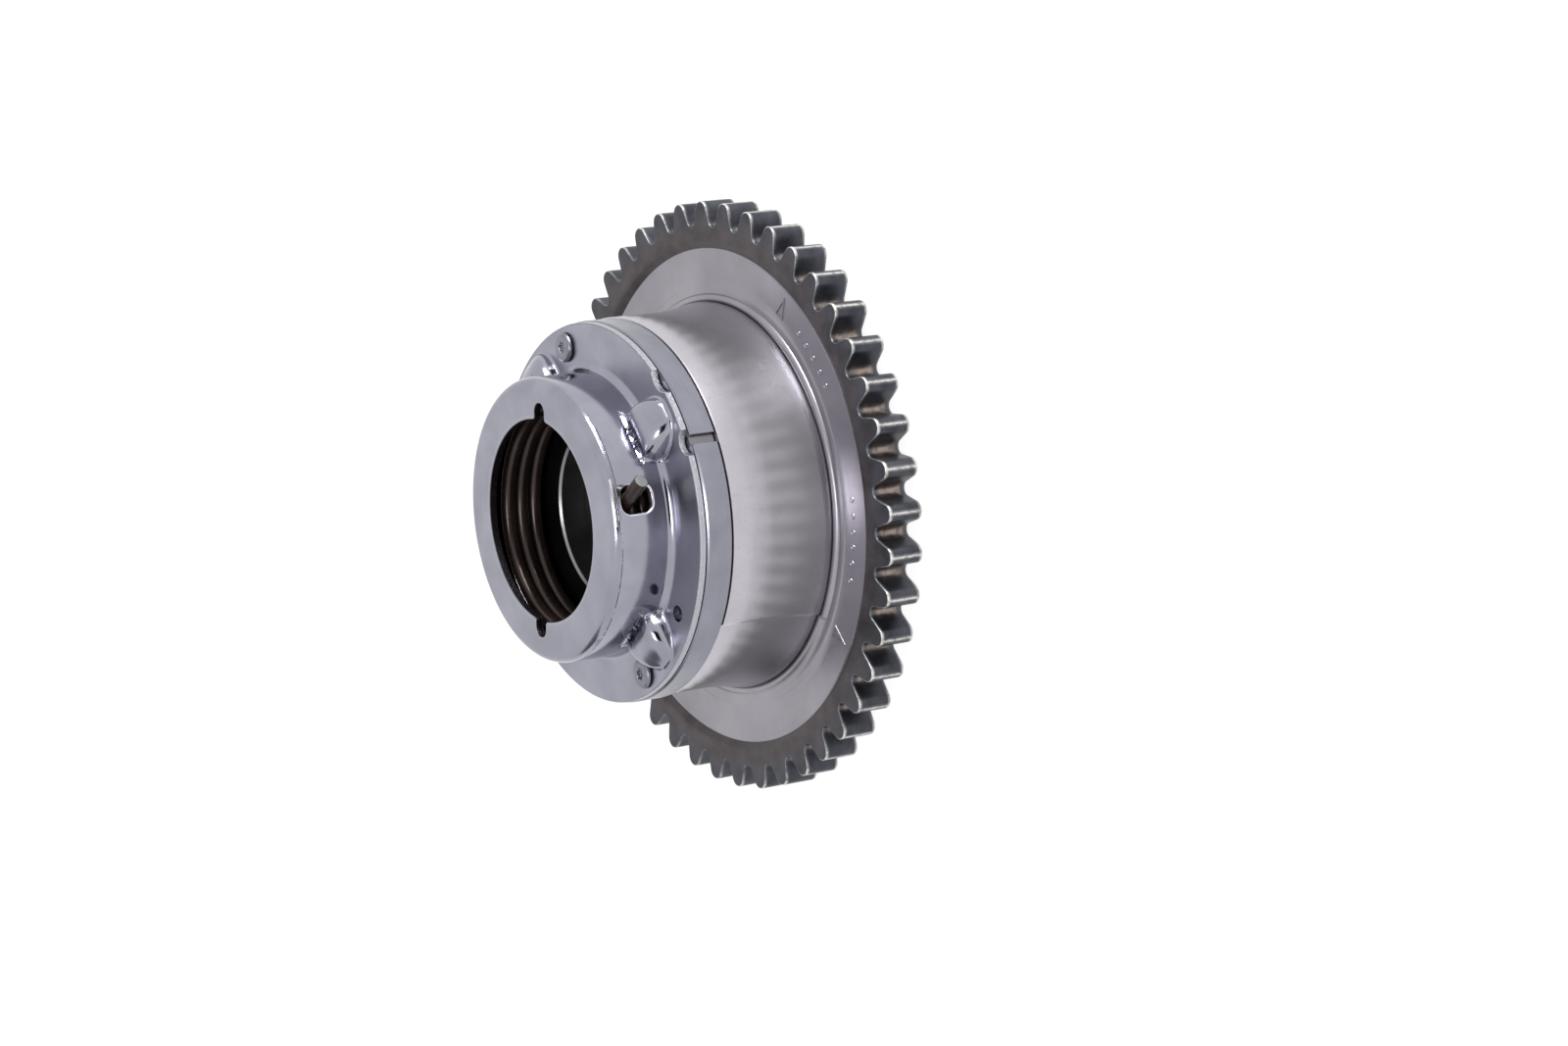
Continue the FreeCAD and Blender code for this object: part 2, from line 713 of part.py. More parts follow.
def lock_pin_spring():
    """Small compression spring between the pin's pocket and the cap."""
    place = polar(pin_circle, vane_angles()[lock_vane])
    wire = lock_spring_wire / 2
    bottom = pin_top - pin_pocket_depth + wire + fit_gap
    top = rotor_front - pin_cap_thickness - wire - fit_gap
    radius = pin_pocket_radius - lock_spring_wire
    helix = Part.makeHelix((top - bottom) / lock_spring_turns, top - bottom, radius)
    spring = round_wire(helix.Edges, wire)
    spring.translate(place + Vector(0, 0, bottom))
    return spring


def round_wire(edges, radius):
    """A round wire along a smooth path."""
    path = Part.Wire(Part.__sortEdges__(edges))
    first = path.OrderedEdges[0]
    start = first.valueAt(first.FirstParameter)
    ahead = first.tangentAt(first.FirstParameter)
    if first.Orientation == "Reversed":
        start = first.valueAt(first.LastParameter)
        ahead = first.tangentAt(first.LastParameter) * -1
    section = Part.Wire(Part.makeCircle(radius, start, ahead))
    return path.makePipeShell([section], True, True)


def lock_bush():
    """Hard bush in the back plate that the lock pin's nose drops into."""
    place = polar(pin_circle, vane_angles()[lock_vane])
    bush = cylinder(lock_bush_radius, chamber_floor - lock_bush_length, chamber_floor, place)
    return bush.cut(cylinder(pin_nose_radius + lock_bush_gap, 0, chamber_floor, place))


def dowel(bottom):
    """Locating dowel, half in the plate and half in the housing's first lobe."""
    place = polar(dowel_circle, first_lobe_angle + dowel_offset)
    return cylinder(dowel_radius, bottom, bottom + dowel_length, place)


def coil_ends():
    """Angle and height of the torsion spring's rear end."""
    rear_height = front_plate_front + wire_radius + coil_seat_gap
    turns = (front_plate_front + coil_front - rear_height) / coil_pitch
    return coil_front_angle - 360.0 * turns, rear_height, turns


def spring_leg_place():
    """Where the spring's inner leg goes down into the rotor."""
    rear_angle, _, _ = coil_ends()
    return leg_corners(rear_angle)[-1]


def leg_corners(rear_angle):
    """Ends of the inner leg's bends, as points on the plan: coil end, bent in, bent down."""
    start = polar(coil_radius, rear_angle)
    along = polar(1, rear_angle - 90)
    inward = polar(-1, rear_angle)
    bent_in = start + (along + inward) * leg_bend_radius
    at_run_end = bent_in + inward * leg_run
    bent_down = at_run_end + inward * leg_bend_radius
    return start, bent_in, at_run_end, bent_down


def bend(start, before, after, radius):
    """An arc that leaves start along before and ends along after, with its end point."""
    turn = before.getAngle(after)
    reach = radius * math.tan(turn / 2)
    corner = start + before * reach
    end = corner + after * reach
    bisector = (after - before).normalize()
    middle = corner + bisector * (radius / math.cos(turn / 2) - radius)
    return Part.Arc(start, middle, end).toShape(), end


def torsion_spring():
    """Wire coil with its outer end out through the cover and its inner leg into the rotor."""
    rear_angle, rear_height, turns = coil_ends()
    front_height = front_plate_front + coil_front
    helix = Part.makeHelix(coil_pitch, front_height - rear_height, coil_radius)
    helix.rotate(CENTRE, Z_AXIS, rear_angle)
    helix.translate(Vector(0, 0, rear_height))
    slope = math.atan(coil_pitch / (2 * math.pi * coil_radius))
    rise = Z_AXIS * math.sin(slope)

    front = polar(coil_radius, coil_front_angle, front_height)
    leaving = polar(math.cos(slope), coil_front_angle + 90) + rise
    fall = math.radians(tang_drop_angle)
    outward = polar(math.cos(fall), tang_direction) - Z_AXIS * math.sin(fall)
    tang_arc, tang_start = bend(front, leaving, outward, tang_bend_radius)
    tang = Part.LineSegment(tang_start, tang_start + outward * tang_length).toShape()

    rear = polar(coil_radius, rear_angle, rear_height)
    backing = polar(math.cos(slope), rear_angle - 90) - rise
    inward = polar(-1, rear_angle)
    leg_arc, leg_start = bend(rear, backing, inward, leg_bend_radius)
    run_end = leg_start + inward * leg_run
    run = Part.LineSegment(leg_start, run_end).toShape()
    down_arc, down_start = bend(run_end, inward, Z_AXIS * -1, leg_bend_radius)
    foot = Vector(down_start.x, down_start.y, rotor_front - leg_depth)
    leg = Part.LineSegment(down_start, foot).toShape()

    return round_wire([tang, tang_arc] + helix.Edges + [leg_arc, run, down_arc, leg], wire_radius)


def main():
    save("sprocket_housing", sprocket_housing())
    save("back_plate", back_plate())
    save("front_plate", front_plate())
    save("spring_cover", spring_cover())
    save("cover_screws", cover_screws())
    save("clamp_bolts", clamp_bolts())
    save("rotor", rotor())
    save("torsion_spring", torsion_spring())
    for index, angle in enumerate(vane_angles()):
        if index == lock_vane:
            angle += lock_seal_shift()
        name = str(index + 1)
        save("vane_seal_" + name, vane_seal(angle))
        floor = chamber_radius - radial_gap - seal_slot_depth
        save("vane_seal_spring_" + name, seal_spring(angle, floor, 1))
    for index, angle in enumerate(lobe_angles()):
        name = str(index + 1)
        save("lobe_seal_" + name, lobe_seal(angle))
        floor = hub_radius + radial_gap + seal_slot_depth
        save("lobe_seal_spring_" + name, seal_spring(angle, floor, -1))
    save("lock_pin", lock_pin())
    save("lock_pin_cap", lock_pin_cap())
    save("lock_pin_spring", lock_pin_spring())
    save("lock_bush", lock_bush())
    save("back_dowel", dowel(chamber_floor - dowel_length / 2))
    save("front_dowel", dowel(barrel_front - dowel_length / 2))


os.makedirs("parts", exist_ok=True)
main()
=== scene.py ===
import math

import bpy
import numpy as np
from mathutils import Matrix, Vector


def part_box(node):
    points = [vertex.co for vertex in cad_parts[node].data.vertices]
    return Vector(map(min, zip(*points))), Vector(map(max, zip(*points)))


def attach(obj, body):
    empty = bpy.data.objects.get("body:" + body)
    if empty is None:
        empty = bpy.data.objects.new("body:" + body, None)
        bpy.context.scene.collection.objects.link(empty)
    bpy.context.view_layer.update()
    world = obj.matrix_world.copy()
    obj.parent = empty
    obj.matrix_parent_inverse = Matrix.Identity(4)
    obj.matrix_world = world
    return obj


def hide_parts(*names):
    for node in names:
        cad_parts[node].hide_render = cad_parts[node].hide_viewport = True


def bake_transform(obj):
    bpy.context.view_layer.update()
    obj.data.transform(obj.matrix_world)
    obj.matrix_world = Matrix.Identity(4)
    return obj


# Cam phaser: a chain sprocket with a barrel, a turned front ring, and a drawn cover over a coil spring.
# Sizes are millimetres and angles are degrees about +Z, until a mesh is made. +Z is out of the cover's mouth.
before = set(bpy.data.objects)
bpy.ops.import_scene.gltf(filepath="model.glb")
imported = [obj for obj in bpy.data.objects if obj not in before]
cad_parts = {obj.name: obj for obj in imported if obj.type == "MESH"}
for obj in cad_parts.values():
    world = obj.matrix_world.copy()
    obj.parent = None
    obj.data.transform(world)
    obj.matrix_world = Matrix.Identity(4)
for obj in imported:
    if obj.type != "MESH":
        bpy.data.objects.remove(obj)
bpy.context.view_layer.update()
MM = 0.001


def low_high(node):
    """A frame node's box in millimetres."""
    low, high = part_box(node)
    return np.array(low) / MM, np.array(high) / MM


# Heights and radii taken from the frame
ring_low, ring_high = low_high("front_plate")
barrel_front = ring_low[2]
ring_front = ring_high[2]
ring_radius = 35.7
cover_low, cover_high = low_high("spring_cover")
cover_face = cover_high[2]

# Toothed rim
tooth_count = 44
tip_radius = 56.0
tip_rounding = 1.8
root_radius = 51.2
root_rounding = 1.3
first_tip_angle = 7.0
rim_width = 7.0
edge_break = 0.22

# Web and barrel
web_radius = 47.0
web_height = 5.8
web_step_radius = 40.1
web_step_height = 0.2
bead_radius = 37.7
bead_rounding = 0.95
barrel_radius = 35.9
barrel_chamfer = 0.3
flare_height = 11.6
flare_growth = 1.2
relief_depth = 0.6
relief_from = -132.0
relief_to = -26.0
recess_radius = 33.4
chamber_radius = 31.0
hub_radius = 19.85
lobe_middle = 45.0
lobe_half_angle = 18.5

# Front ring
ring_bore = 16.3
ring_bore_chamfer = 0.4
ring_chamfer = 0.3
groove_angle = 32.0
groove_half_width = 0.9
groove_depth = 0.8

# Drawn cover
sheet = 1.5
flange_radius = 35.5
wall_radius = 26.5
corner_rounding = 1.7
foot_rounding = 1.5
mouth_radius = 18.8
notch_reach = 22.0
notch_half_width = 1.85
notch_shoulder = 0.6
sheared_break = 0.14
burr_break = 0.35
dome_angles = (43.5, 130.5, 223.5, 316.5)
dome_circle = 27.2
dome_length = 7.2
dome_inner_length = 12.0
dome_width = 5.5
dome_height = 6.1
dome_sink = 0.3
dome_squareness = 4.0
crease_height = 5.8
crease_chord = 25.8
crease_depth = 1.1
crease_drop = 1.0
crease_slope = 0.24
crease_half_length = 5.7
crease_taper = 1.0
crease_rounding = 0.35
dent_rounding = 0.3
dome_fillet = 0.5
scallops = ((52.8, 5.8, 1.5), (31.3, 4.8, 1.9))
slot_angle = 17.75
slot_width = 5.2
slot_height = 6.5
slot_centre = 8.35
slot_corner = 1.9
pin_hole_angle = -25.65
pin_hole_circle = 30.9
pin_hole_radius = 1.5

ironed_line = 44.75

# Cover screws
screw_angles = (110.35, 205.75, 301.15)
screw_circle = 31.6
screw_head_radius = 2.8
screw_head_height = 1.0
screw_shank_radius = 1.5
screw_length = 5.5

# Timing marks on the web
dot_circle = 42.65
dot_angles = (54.5, 50.4, 46.3, 42.2, 38.2, 9.3, 5.3, 1.2, -2.4, -6.5, -11.0)
dot_radius = 0.62
dot_height = 0.14
triangle_angles = (63.6, -26.6)
triangle_inner = 41.2
triangle_outer = 45.4
triangle_width = 2.6
triangle_line = 0.34

# Torsion spring
wire_radius = 1.35
coil_radius = 21.2
coil_pitch = 2.85
coil_front = 9.95
coil_front_angle = 7.5
coil_seat_gap = 0.12
tang_direction = 46.0
tang_drop_angle = 4.0
tang_bend_radius = 3.4
tang_length = 8.9
leg_bend_radius = 3.6
leg_run = 1.2
leg_depth = 5.5


def smoothstep(edge_from, edge_to, value):
    """0 before the first edge, 1 after the second, and 3t^2 - 2t^3 between them."""
    share = np.clip((value - edge_from) / (edge_to - edge_from), 0, 1)
    return share * share * (3 - 2 * share)


def turned(angle, middle):
    """Signed difference of angles, between -180 and 180 degrees."""
    return (angle - middle + 180) % 360 - 180


def grid_piece(name, points, body, materials, zones=None, wrap_rows=True, flip=False, masks=None, sharp=32.0):
    """A mesh of points[row, column] in millimetres. Columns close on themselves, and rows do if wrap_rows."""
    rows, columns, _ = points.shape
    index = np.arange(rows * columns).reshape(rows, columns)
    if wrap_rows:
        index = np.vstack([index, index[:1]])
    beside = np.roll(index, -1, axis=1)
    quads = np.stack([index[:-1], beside[:-1], beside[1:], index[1:]], axis=-1)
    if flip:
        quads = quads[..., ::-1]
    mesh = bpy.data.meshes.new(name)
    mesh.from_pydata((points * MM).reshape(-1, 3), [], quads.reshape(-1, 4))
    for material in materials:
        mesh.materials.append(material)
    if zones is not None:
        face_zones = np.repeat(np.asarray(zones)[: index.shape[0] - 1], columns)
        mesh.polygons.foreach_set("material_index", face_zones.astype(np.int32))
    for mask, values in (masks or {}).items():
        layer = mesh.attributes.new(mask, "FLOAT", "POINT")
        layer.data.foreach_set("value", np.asarray(values, np.float32).ravel())
    mesh.shade_smooth()
    mesh.set_sharp_from_angle(angle=math.radians(sharp))
    piece = bpy.data.objects.new(name, mesh)
    bpy.context.scene.collection.objects.link(piece)
    if body:
        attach(piece, body)
    return piece


def on_circle(radius, angle, height):
    """Points at radius, angle (degrees) and height, broadcast together."""
    turn = np.radians(angle)
    radius, turn, height = np.broadcast_arrays(radius, turn, height)
    return np.stack([radius * np.cos(turn), radius * np.sin(turn), height], axis=-1)


# Colours and materials


def srgb(code):
    """Linear colour of an sRGB hex code."""
    parts = [int(code[i:i + 2], 16) / 255 for i in (1, 3, 5)]
    return [c / 12.92 if c <= 0.04045 else ((c + 0.055) / 1.055) ** 2.4 for c in parts] + [1.0]


def add(tree, kind, inputs=(), **settings):
    """Adds a node. Inputs are {socket: value or the output socket to link}; settings are its properties."""
    node = tree.nodes.new(kind)
    for name, value in settings.items():
        setattr(node, name, value)
    for socket, value in dict(inputs).items():
        if isinstance(value, bpy.types.NodeSocket):
            tree.links.new(value, node.inputs[socket])
        else:
            node.inputs[socket].default_value = value
    return node


def new_material(name):
    """A material with only a Principled surface, and its Object coordinates."""
    material = bpy.data.materials.new(name)
    material.use_nodes = True
    tree = material.node_tree
    tree.nodes.clear()
    shader = add(tree, "ShaderNodeBsdfPrincipled")
    output = add(tree, "ShaderNodeOutputMaterial", {"Surface": shader.outputs[0]})
    where = add(tree, "ShaderNodeTexCoord").outputs["Object"]
    return material, tree, shader, where, output


def noise(tree, where, size_mm, detail=3.0, rough=0.55, stretch=(1, 1, 1)):
    """Noise with features of the given size, about 0.5 in the mean."""
    placed = add(tree, "ShaderNodeMapping", {"Vector": where, "Scale": [s / (size_mm * MM) for s in stretch]})
    return add(tree, "ShaderNodeTexNoise", {
        "Vector": placed.outputs[0], "Scale": 1.0, "Detail": detail, "Roughness": rough,
    }).outputs[0]


def ramp(tree, value, low, high, to_low=0.0, to_high=1.0):
    """Value mapped from low..high to to_low..to_high and held there."""
    return add(tree, "ShaderNodeMapRange", {
        "Value": value, "From Min": low, "From Max": high, "To Min": to_low, "To Max": to_high,
    }).outputs[0]


def mixed(tree, share, first, second):
    """Colour from first to second by share."""
    node = add(tree, "ShaderNodeMix", data_type="RGBA")
    for socket, value in ((node.inputs[0], share), (node.inputs[6], first), (node.inputs[7], second)):
        if isinstance(value, bpy.types.NodeSocket):
            tree.links.new(value, socket)
        else:
            socket.default_value = value
    return node.outputs[2]


def math_node(tree, operation, first, second=0.0):
    return add(tree, "ShaderNodeMath", {0: first, 1: second}, operation=operation).outputs[0]


def bump(tree, height, distance_mm, strength=1.0, under=None):
    """Bump whose full height stands for distance_mm."""
    inputs = {"Height": height, "Distance": distance_mm * MM, "Strength": strength}
    if under is not None:
        inputs["Normal"] = under
    return add(tree, "ShaderNodeBump", inputs).outputs[0]


def wire_up(tree, shader, **sockets):
    """Sets or links the Principled sockets named with underscores for spaces."""
    for name, value in sockets.items():
        socket = shader.inputs[name.replace("_", " ")]
        if isinstance(value, bpy.types.NodeSocket):
            tree.links.new(value, socket)
        else:
            socket.default_value = value


def mask(tree, name):
    return add(tree, "ShaderNodeAttribute", attribute_name=name).outputs["Fac"]


def zinc_plated_sheet():
    """Drawn steel sheet, bright zinc plated: satin on the flat faces, glossy where drawing ironed it."""
    material, tree, shader, where, _ = new_material("zinc_plated_drawn_sheet")
    cloud = noise(tree, where, 9.0)
    colour = mixed(tree, ramp(tree, cloud, 0.35, 0.65), srgb("#9696A2"), srgb("#A3A3AF"))
    sheared = mask(tree, "sheared")
    colour = mixed(tree, sheared, colour, srgb("#B4B5BC"))
    flat = add(tree, "ShaderNodeSeparateXYZ", {0: add(tree, "ShaderNodeNewGeometry").outputs["Normal"]}).outputs[2]
    satin = ramp(tree, flat, 0.6, 0.98, 0.13, 0.30)
    rough = math_node(tree, "ADD", satin, ramp(tree, sheared, 0, 1, 0, 0.22))
    grain = noise(tree, where, 0.12, 2.0)
    tear = noise(tree, where, 0.30, 2.0, stretch=(1, 1, 0.5))
    x, _, z = add(tree, "ShaderNodeSeparateXYZ", {0: where}).outputs[:3]
    from_line = math_node(tree, "ABSOLUTE", math_node(tree, "SUBTRACT", z, ironed_line * MM))
    ragged = ramp(tree, noise(tree, where, 2.2, 3.0), 0.35, 0.5, 0.2, 1.0)
    line = math_node(tree, "MULTIPLY", ramp(tree, from_line, 0.30 * MM, 0.08 * MM), ragged)
    line = math_node(tree, "MULTIPLY", line, ramp(tree, x, 12.0 * MM, 20.0 * MM))
    # The cut edge round the mouth (the lip mask) is painted dark grey over the bright sheared finish: painted shade on
    # the edge that faces into the cover.
    colour = mixed(tree, mask(tree, "lip"), colour, srgb("#454145"))
    fine = bump(tree, grain, 0.0012, under=bump(tree, line, 0.09))
    torn = bump(tree, math_node(tree, "MULTIPLY", tear, sheared), 0.16, under=fine)
    wave = bump(tree, noise(tree, where, 5.0, 1.0), 0.03, under=torn)
    wire_up(tree, shader, Base_Color=colour, Metallic=1.0, Roughness=rough, Normal=wave)
    return material


def turned_steel():
    """Steel ring turned on a lathe: fine grooves round it, seen as a satin sheen across them."""
    material, tree, shader, where, _ = new_material("turned_steel")
    lines = noise(tree, where, 0.16, 2.0, stretch=(0.02, 0.02, 1))
    cloud = noise(tree, where, 7.0)
    colour = mixed(tree, ramp(tree, cloud, 0.3, 0.7), srgb("#888893"), srgb("#9696A1"))
    # The groove is painted a browner grey: partly its own milled tone, and painted shade that is deepest along its
    # walls.
    colour = mixed(tree, mask(tree, "groove"), colour, srgb("#6A6461"))
    wire_up(tree, shader, Base_Color=colour, Metallic=1.0, Roughness=ramp(tree, lines, 0.3, 0.7, 0.24, 0.36),
            Normal=bump(tree, lines, 0.004))
    return material


def blasted_steel():
    """Sintered steel, shot blasted: warm grey with a fine dull grain and soft clouds."""
    material, tree, shader, where, _ = new_material("blasted_sintered_steel")
    cloud = noise(tree, where, 14.0, 4.0)
    speck = noise(tree, where, 0.45, 2.0)
    clouded = ramp(tree, cloud, 0.3, 0.7)
    web = mixed(tree, clouded, srgb("#8E8B92"), srgb("#A09DA4"))
    # The barrel's wall is painted lighter than the web, though both are the same blasted steel: painted light on the
    # barrel.
    colour = mixed(tree, mask(tree, "barrel"), web, mixed(tree, clouded, srgb("#B4B1B8"), srgb("#C4C1C8")))
    colour = mixed(tree, ramp(tree, speck, 0.62, 0.72, 0, 0.25), colour, srgb("#6F6A66"))
    # A near-white line along the edges of the barrel's relief comes through this mask: a painted highlight, not wear.
    colour = mixed(tree, mask(tree, "wear_and_highlight"), colour, srgb("#E4E2E6"))
    wire_up(tree, shader, Base_Color=colour, Metallic=1.0, Roughness=ramp(tree, mask(tree, "barrel"), 0, 1, 0.32, 0.27),
            Normal=bump(tree, noise(tree, where, 0.22, 2.0), 0.008))
    return material


def tempered_rim():
    """Induction hardened teeth: dark brown to blue scale, worn bright on ridges, with a light band in the roots that is
    partly polish from the chain and partly a painted reflection.
    """
    material, tree, shader, where, _ = new_material("hardened_dark_steel")
    cloud = noise(tree, where, 4.0, 4.0)
    face = mixed(tree, ramp(tree, cloud, 0.3, 0.7), srgb("#433E41"), srgb("#5B5557"))
    flank = mixed(tree, ramp(tree, cloud, 0.3, 0.7), srgb("#3B3C42"), srgb("#54565D"))
    colour = mixed(tree, mask(tree, "flank"), face, flank)
    streak = noise(tree, where, 1.2, 3.0)
    # The light band in the roots is partly polish from the chain and partly a painted reflection of the bright room.
    polish_and_reflection = math_node(tree, "MULTIPLY", mask(tree, "polish_and_reflection"), ramp(tree, streak, 0.35, 0.6, 0.35, 1.0))
    colour = mixed(tree, polish_and_reflection, colour, srgb("#A3948B"))
    # On the teeth this mask holds wear on the edges and tip ridges; its painted highlight lies only on the barrel's
    # relief.
    wear_and_highlight = math_node(tree, "MULTIPLY", mask(tree, "wear_and_highlight"), ramp(tree, noise(tree, where, 0.9), 0.3, 0.55, 0.3, 1.0))
    colour = mixed(tree, wear_and_highlight, colour, srgb("#E4E2DF"))
    rough = ramp(tree, cloud, 0.3, 0.7, 0.32, 0.45)
    wire_up(tree, shader, Base_Color=colour, Metallic=0.9, Roughness=rough,
            Normal=bump(tree, noise(tree, where, 0.35, 3.0), 0.02))
    return material


def plain_metal(name, low, high, metallic, rough, cloud_mm=6.0, grain_mm=0.3, depth_mm=0.004):
    """A worked metal with two close tones, a roughness that drifts with them and a fine grain."""
    material, tree, shader, where, _ = new_material(name)
    cloud = ramp(tree, noise(tree, where, cloud_mm), 0.3, 0.7)
    wire_up(tree, shader, Base_Color=mixed(tree, cloud, srgb(low), srgb(high)), Metallic=metallic,
            Roughness=ramp(tree, cloud, 0, 1, rough - 0.05, rough + 0.05),
            Normal=bump(tree, noise(tree, where, grain_mm, 2.0), depth_mm))
    return material


zinc = zinc_plated_sheet()
ring_steel = turned_steel()
blasted = blasted_steel()
rim_steel = tempered_rim()
# Oil tempered spring wire: dark brown oxide with a drawn gloss
wire_steel = plain_metal("oil_tempered_wire", "#2B211E", "#3D302C", 0.4, 0.24)
cut_steel = plain_metal("cut_wire_end", "#7C8080", "#979B9B", 0.9, 0.35)
# Near black for painted shade, not a finish of the steel: the ring's face inside the mouth, thin bands where the ring
# meets the cover and the barrel, and the lower sides of the screw heads
painted_shade_black = plain_metal("painted_shade_black", "#1A1919", "#262424", 0.7, 0.34)
# Bore wall: plain machined steel, lighter than the painted shade round it
bore_steel = plain_metal("machined_bore", "#8A898B", "#979698", 1.0, 0.35, grain_mm=0.15)
bright_edge = plain_metal("machined_edge", "#7E7E80", "#8C8C8E", 1.0, 0.3)
# Near white for the bevel round the wire's window: bare punched steel with a painted highlight in it.
bare_edge_highlight = plain_metal("bare_sheared_edge_highlight", "#DADADF", "#E8E8EC", 1.0, 0.25)
screw_steel = plain_metal("zinc_plated_screw", "#7C7C86", "#90909A", 1.0, 0.34)
# The rotor, seen only deep in the mouth, is painted near black: painted shade over its sintered steel.
rotor_painted_shade = plain_metal("sintered_rotor_steel", "#2B2928", "#3B3937", 0.85, 0.45)
plate_steel = plain_metal("ground_plate_steel", "#8E8E90", "#A0A0A2", 1.0, 0.30)
pin_steel = plain_metal("hardened_ground_steel", "#86878A", "#9A9B9E", 1.0, 0.22)
seal_plastic = plain_metal("moulded_bearing_plastic", "#1B1A1A", "#262525", 0.0, 0.5)


# Toothed rim, web and barrel


def tooth_outline(inset):
    """Sprocket outline moved in by inset, as (x, y) points of every tooth from root to root.

    A half tooth is a round root about a point outside the outline, a straight line that touches
    both rounds, and a round tip. The other half is its mirror image.
    """
    half_pitch = math.pi / tooth_count
    tip_centre = np.array([tip_radius - tip_rounding, 0.0])
    root_centre = (root_radius + root_rounding) * np.array([math.cos(half_pitch), -math.sin(half_pitch)])
    between = root_centre - tip_centre
    swing = math.acos((tip_rounding + root_rounding) / np.linalg.norm(between))
    touch = math.atan2(between[1], between[0]) + swing
    root_turn = np.linspace(math.pi - half_pitch, math.pi + touch, 6)
    tip_turn = np.linspace(touch, 0.0, 8)
    root_arc = root_centre + (root_rounding + inset) * np.c_[np.cos(root_turn), np.sin(root_turn)]
    tip_arc = tip_centre + (tip_rounding - inset) * np.c_[np.cos(tip_turn), np.sin(tip_turn)]
    share = np.linspace(0, 1, 6)[1:-1, None]
    flank = root_arc[-1] * (1 - share) + tip_arc[0] * share
    half = np.vstack([root_arc, flank, tip_arc])
    tooth = np.vstack([half, half[-2:0:-1] * [1, -1]])
    turn = np.radians(first_tip_angle) + 2 * half_pitch * np.arange(tooth_count)
    spin = np.stack([np.cos(turn), -np.sin(turn), np.sin(turn), np.cos(turn)], axis=-1).reshape(-1, 2, 2)
    return np.einsum("tij,pj->tpi", spin, tooth).reshape(-1, 2), len(root_arc), len(half), len(tooth)


def housing_rows():
    """Rows of the housing: (radius or None for the tooth outline, height, outline inset, zone)."""
    rim, dull = 0, 1
    rows = [(recess_radius, 0.0, 0, dull), (recess_radius + 1, 0.0, 0, dull), (42.0, 0.0, 0, dull)]
    rows += [(web_radius, 0.0, 0, rim), (root_radius - 1.2, 0.0, 0, rim)]
    quarter = np.radians(np.linspace(0, 90, 4))
    rows.append((None, 0.0, edge_break + 0.15, rim))
    for turn in quarter:
        rows.append((None, edge_break * (1 - math.cos(turn)), edge_break * (1 - math.sin(turn)), rim))
    rows += [(None, height, 0.0, rim) for height in (0.7, 1.5, 2.8, 4.2, 5.5, 6.3)]
    for turn in quarter[::-1]:
        rows.append((None, rim_width - edge_break * (1 - math.cos(turn)), edge_break * (1 - math.sin(turn)), rim))
    rows.append((None, rim_width, edge_break + 0.15, rim))
    rise = rim_width - web_height
    rows += [(root_radius - 1.0, rim_width, 0, rim), (49.3, rim_width, 0, rim)]
    rows += [(web_radius + rise + 0.15, rim_width, 0, rim), (web_radius + rise - 0.03, rim_width - 0.08, 0, rim)]
    rows += [(web_radius + 0.12, web_height + 0.15, 0, dull), (web_radius - 0.1, web_height + 0.02, 0, dull)]
    rows += [(radius, web_height, 0, dull) for radius in (46.4, 44.0, 41.8, web_step_radius + 0.2)]
    rows += [(web_step_radius, web_height + web_step_height / 2, 0, dull)]
    step = web_height + web_step_height
    rows += [(web_step_radius - 0.2, step, 0, dull), (39.2, step, 0, dull)]
    for turn in np.radians(np.linspace(18, 150, 9)):
        rows.append((bead_radius + bead_rounding * math.cos(turn), web_height - 0.1 + bead_rounding * math.sin(turn), 0, dull))
    foot = web_height + 1.1
    for share in np.linspace(0, 1, 10):
        rows.append((barrel_radius + flare_growth * (1 - share) ** 2, foot + flare_height * share, 0, dull))
    rows += [(barrel_radius, 22.5, 0, dull), (barrel_radius, barrel_front - barrel_chamfer - 0.1, 0, dull)]
    rows += [(barrel_radius - 0.08, barrel_front - 0.1, 0, dull), (barrel_radius - barrel_chamfer, barrel_front, 0, dull)]
    rows += [(chamber_radius + 0.5, barrel_front, 0, dull)]
    return rows


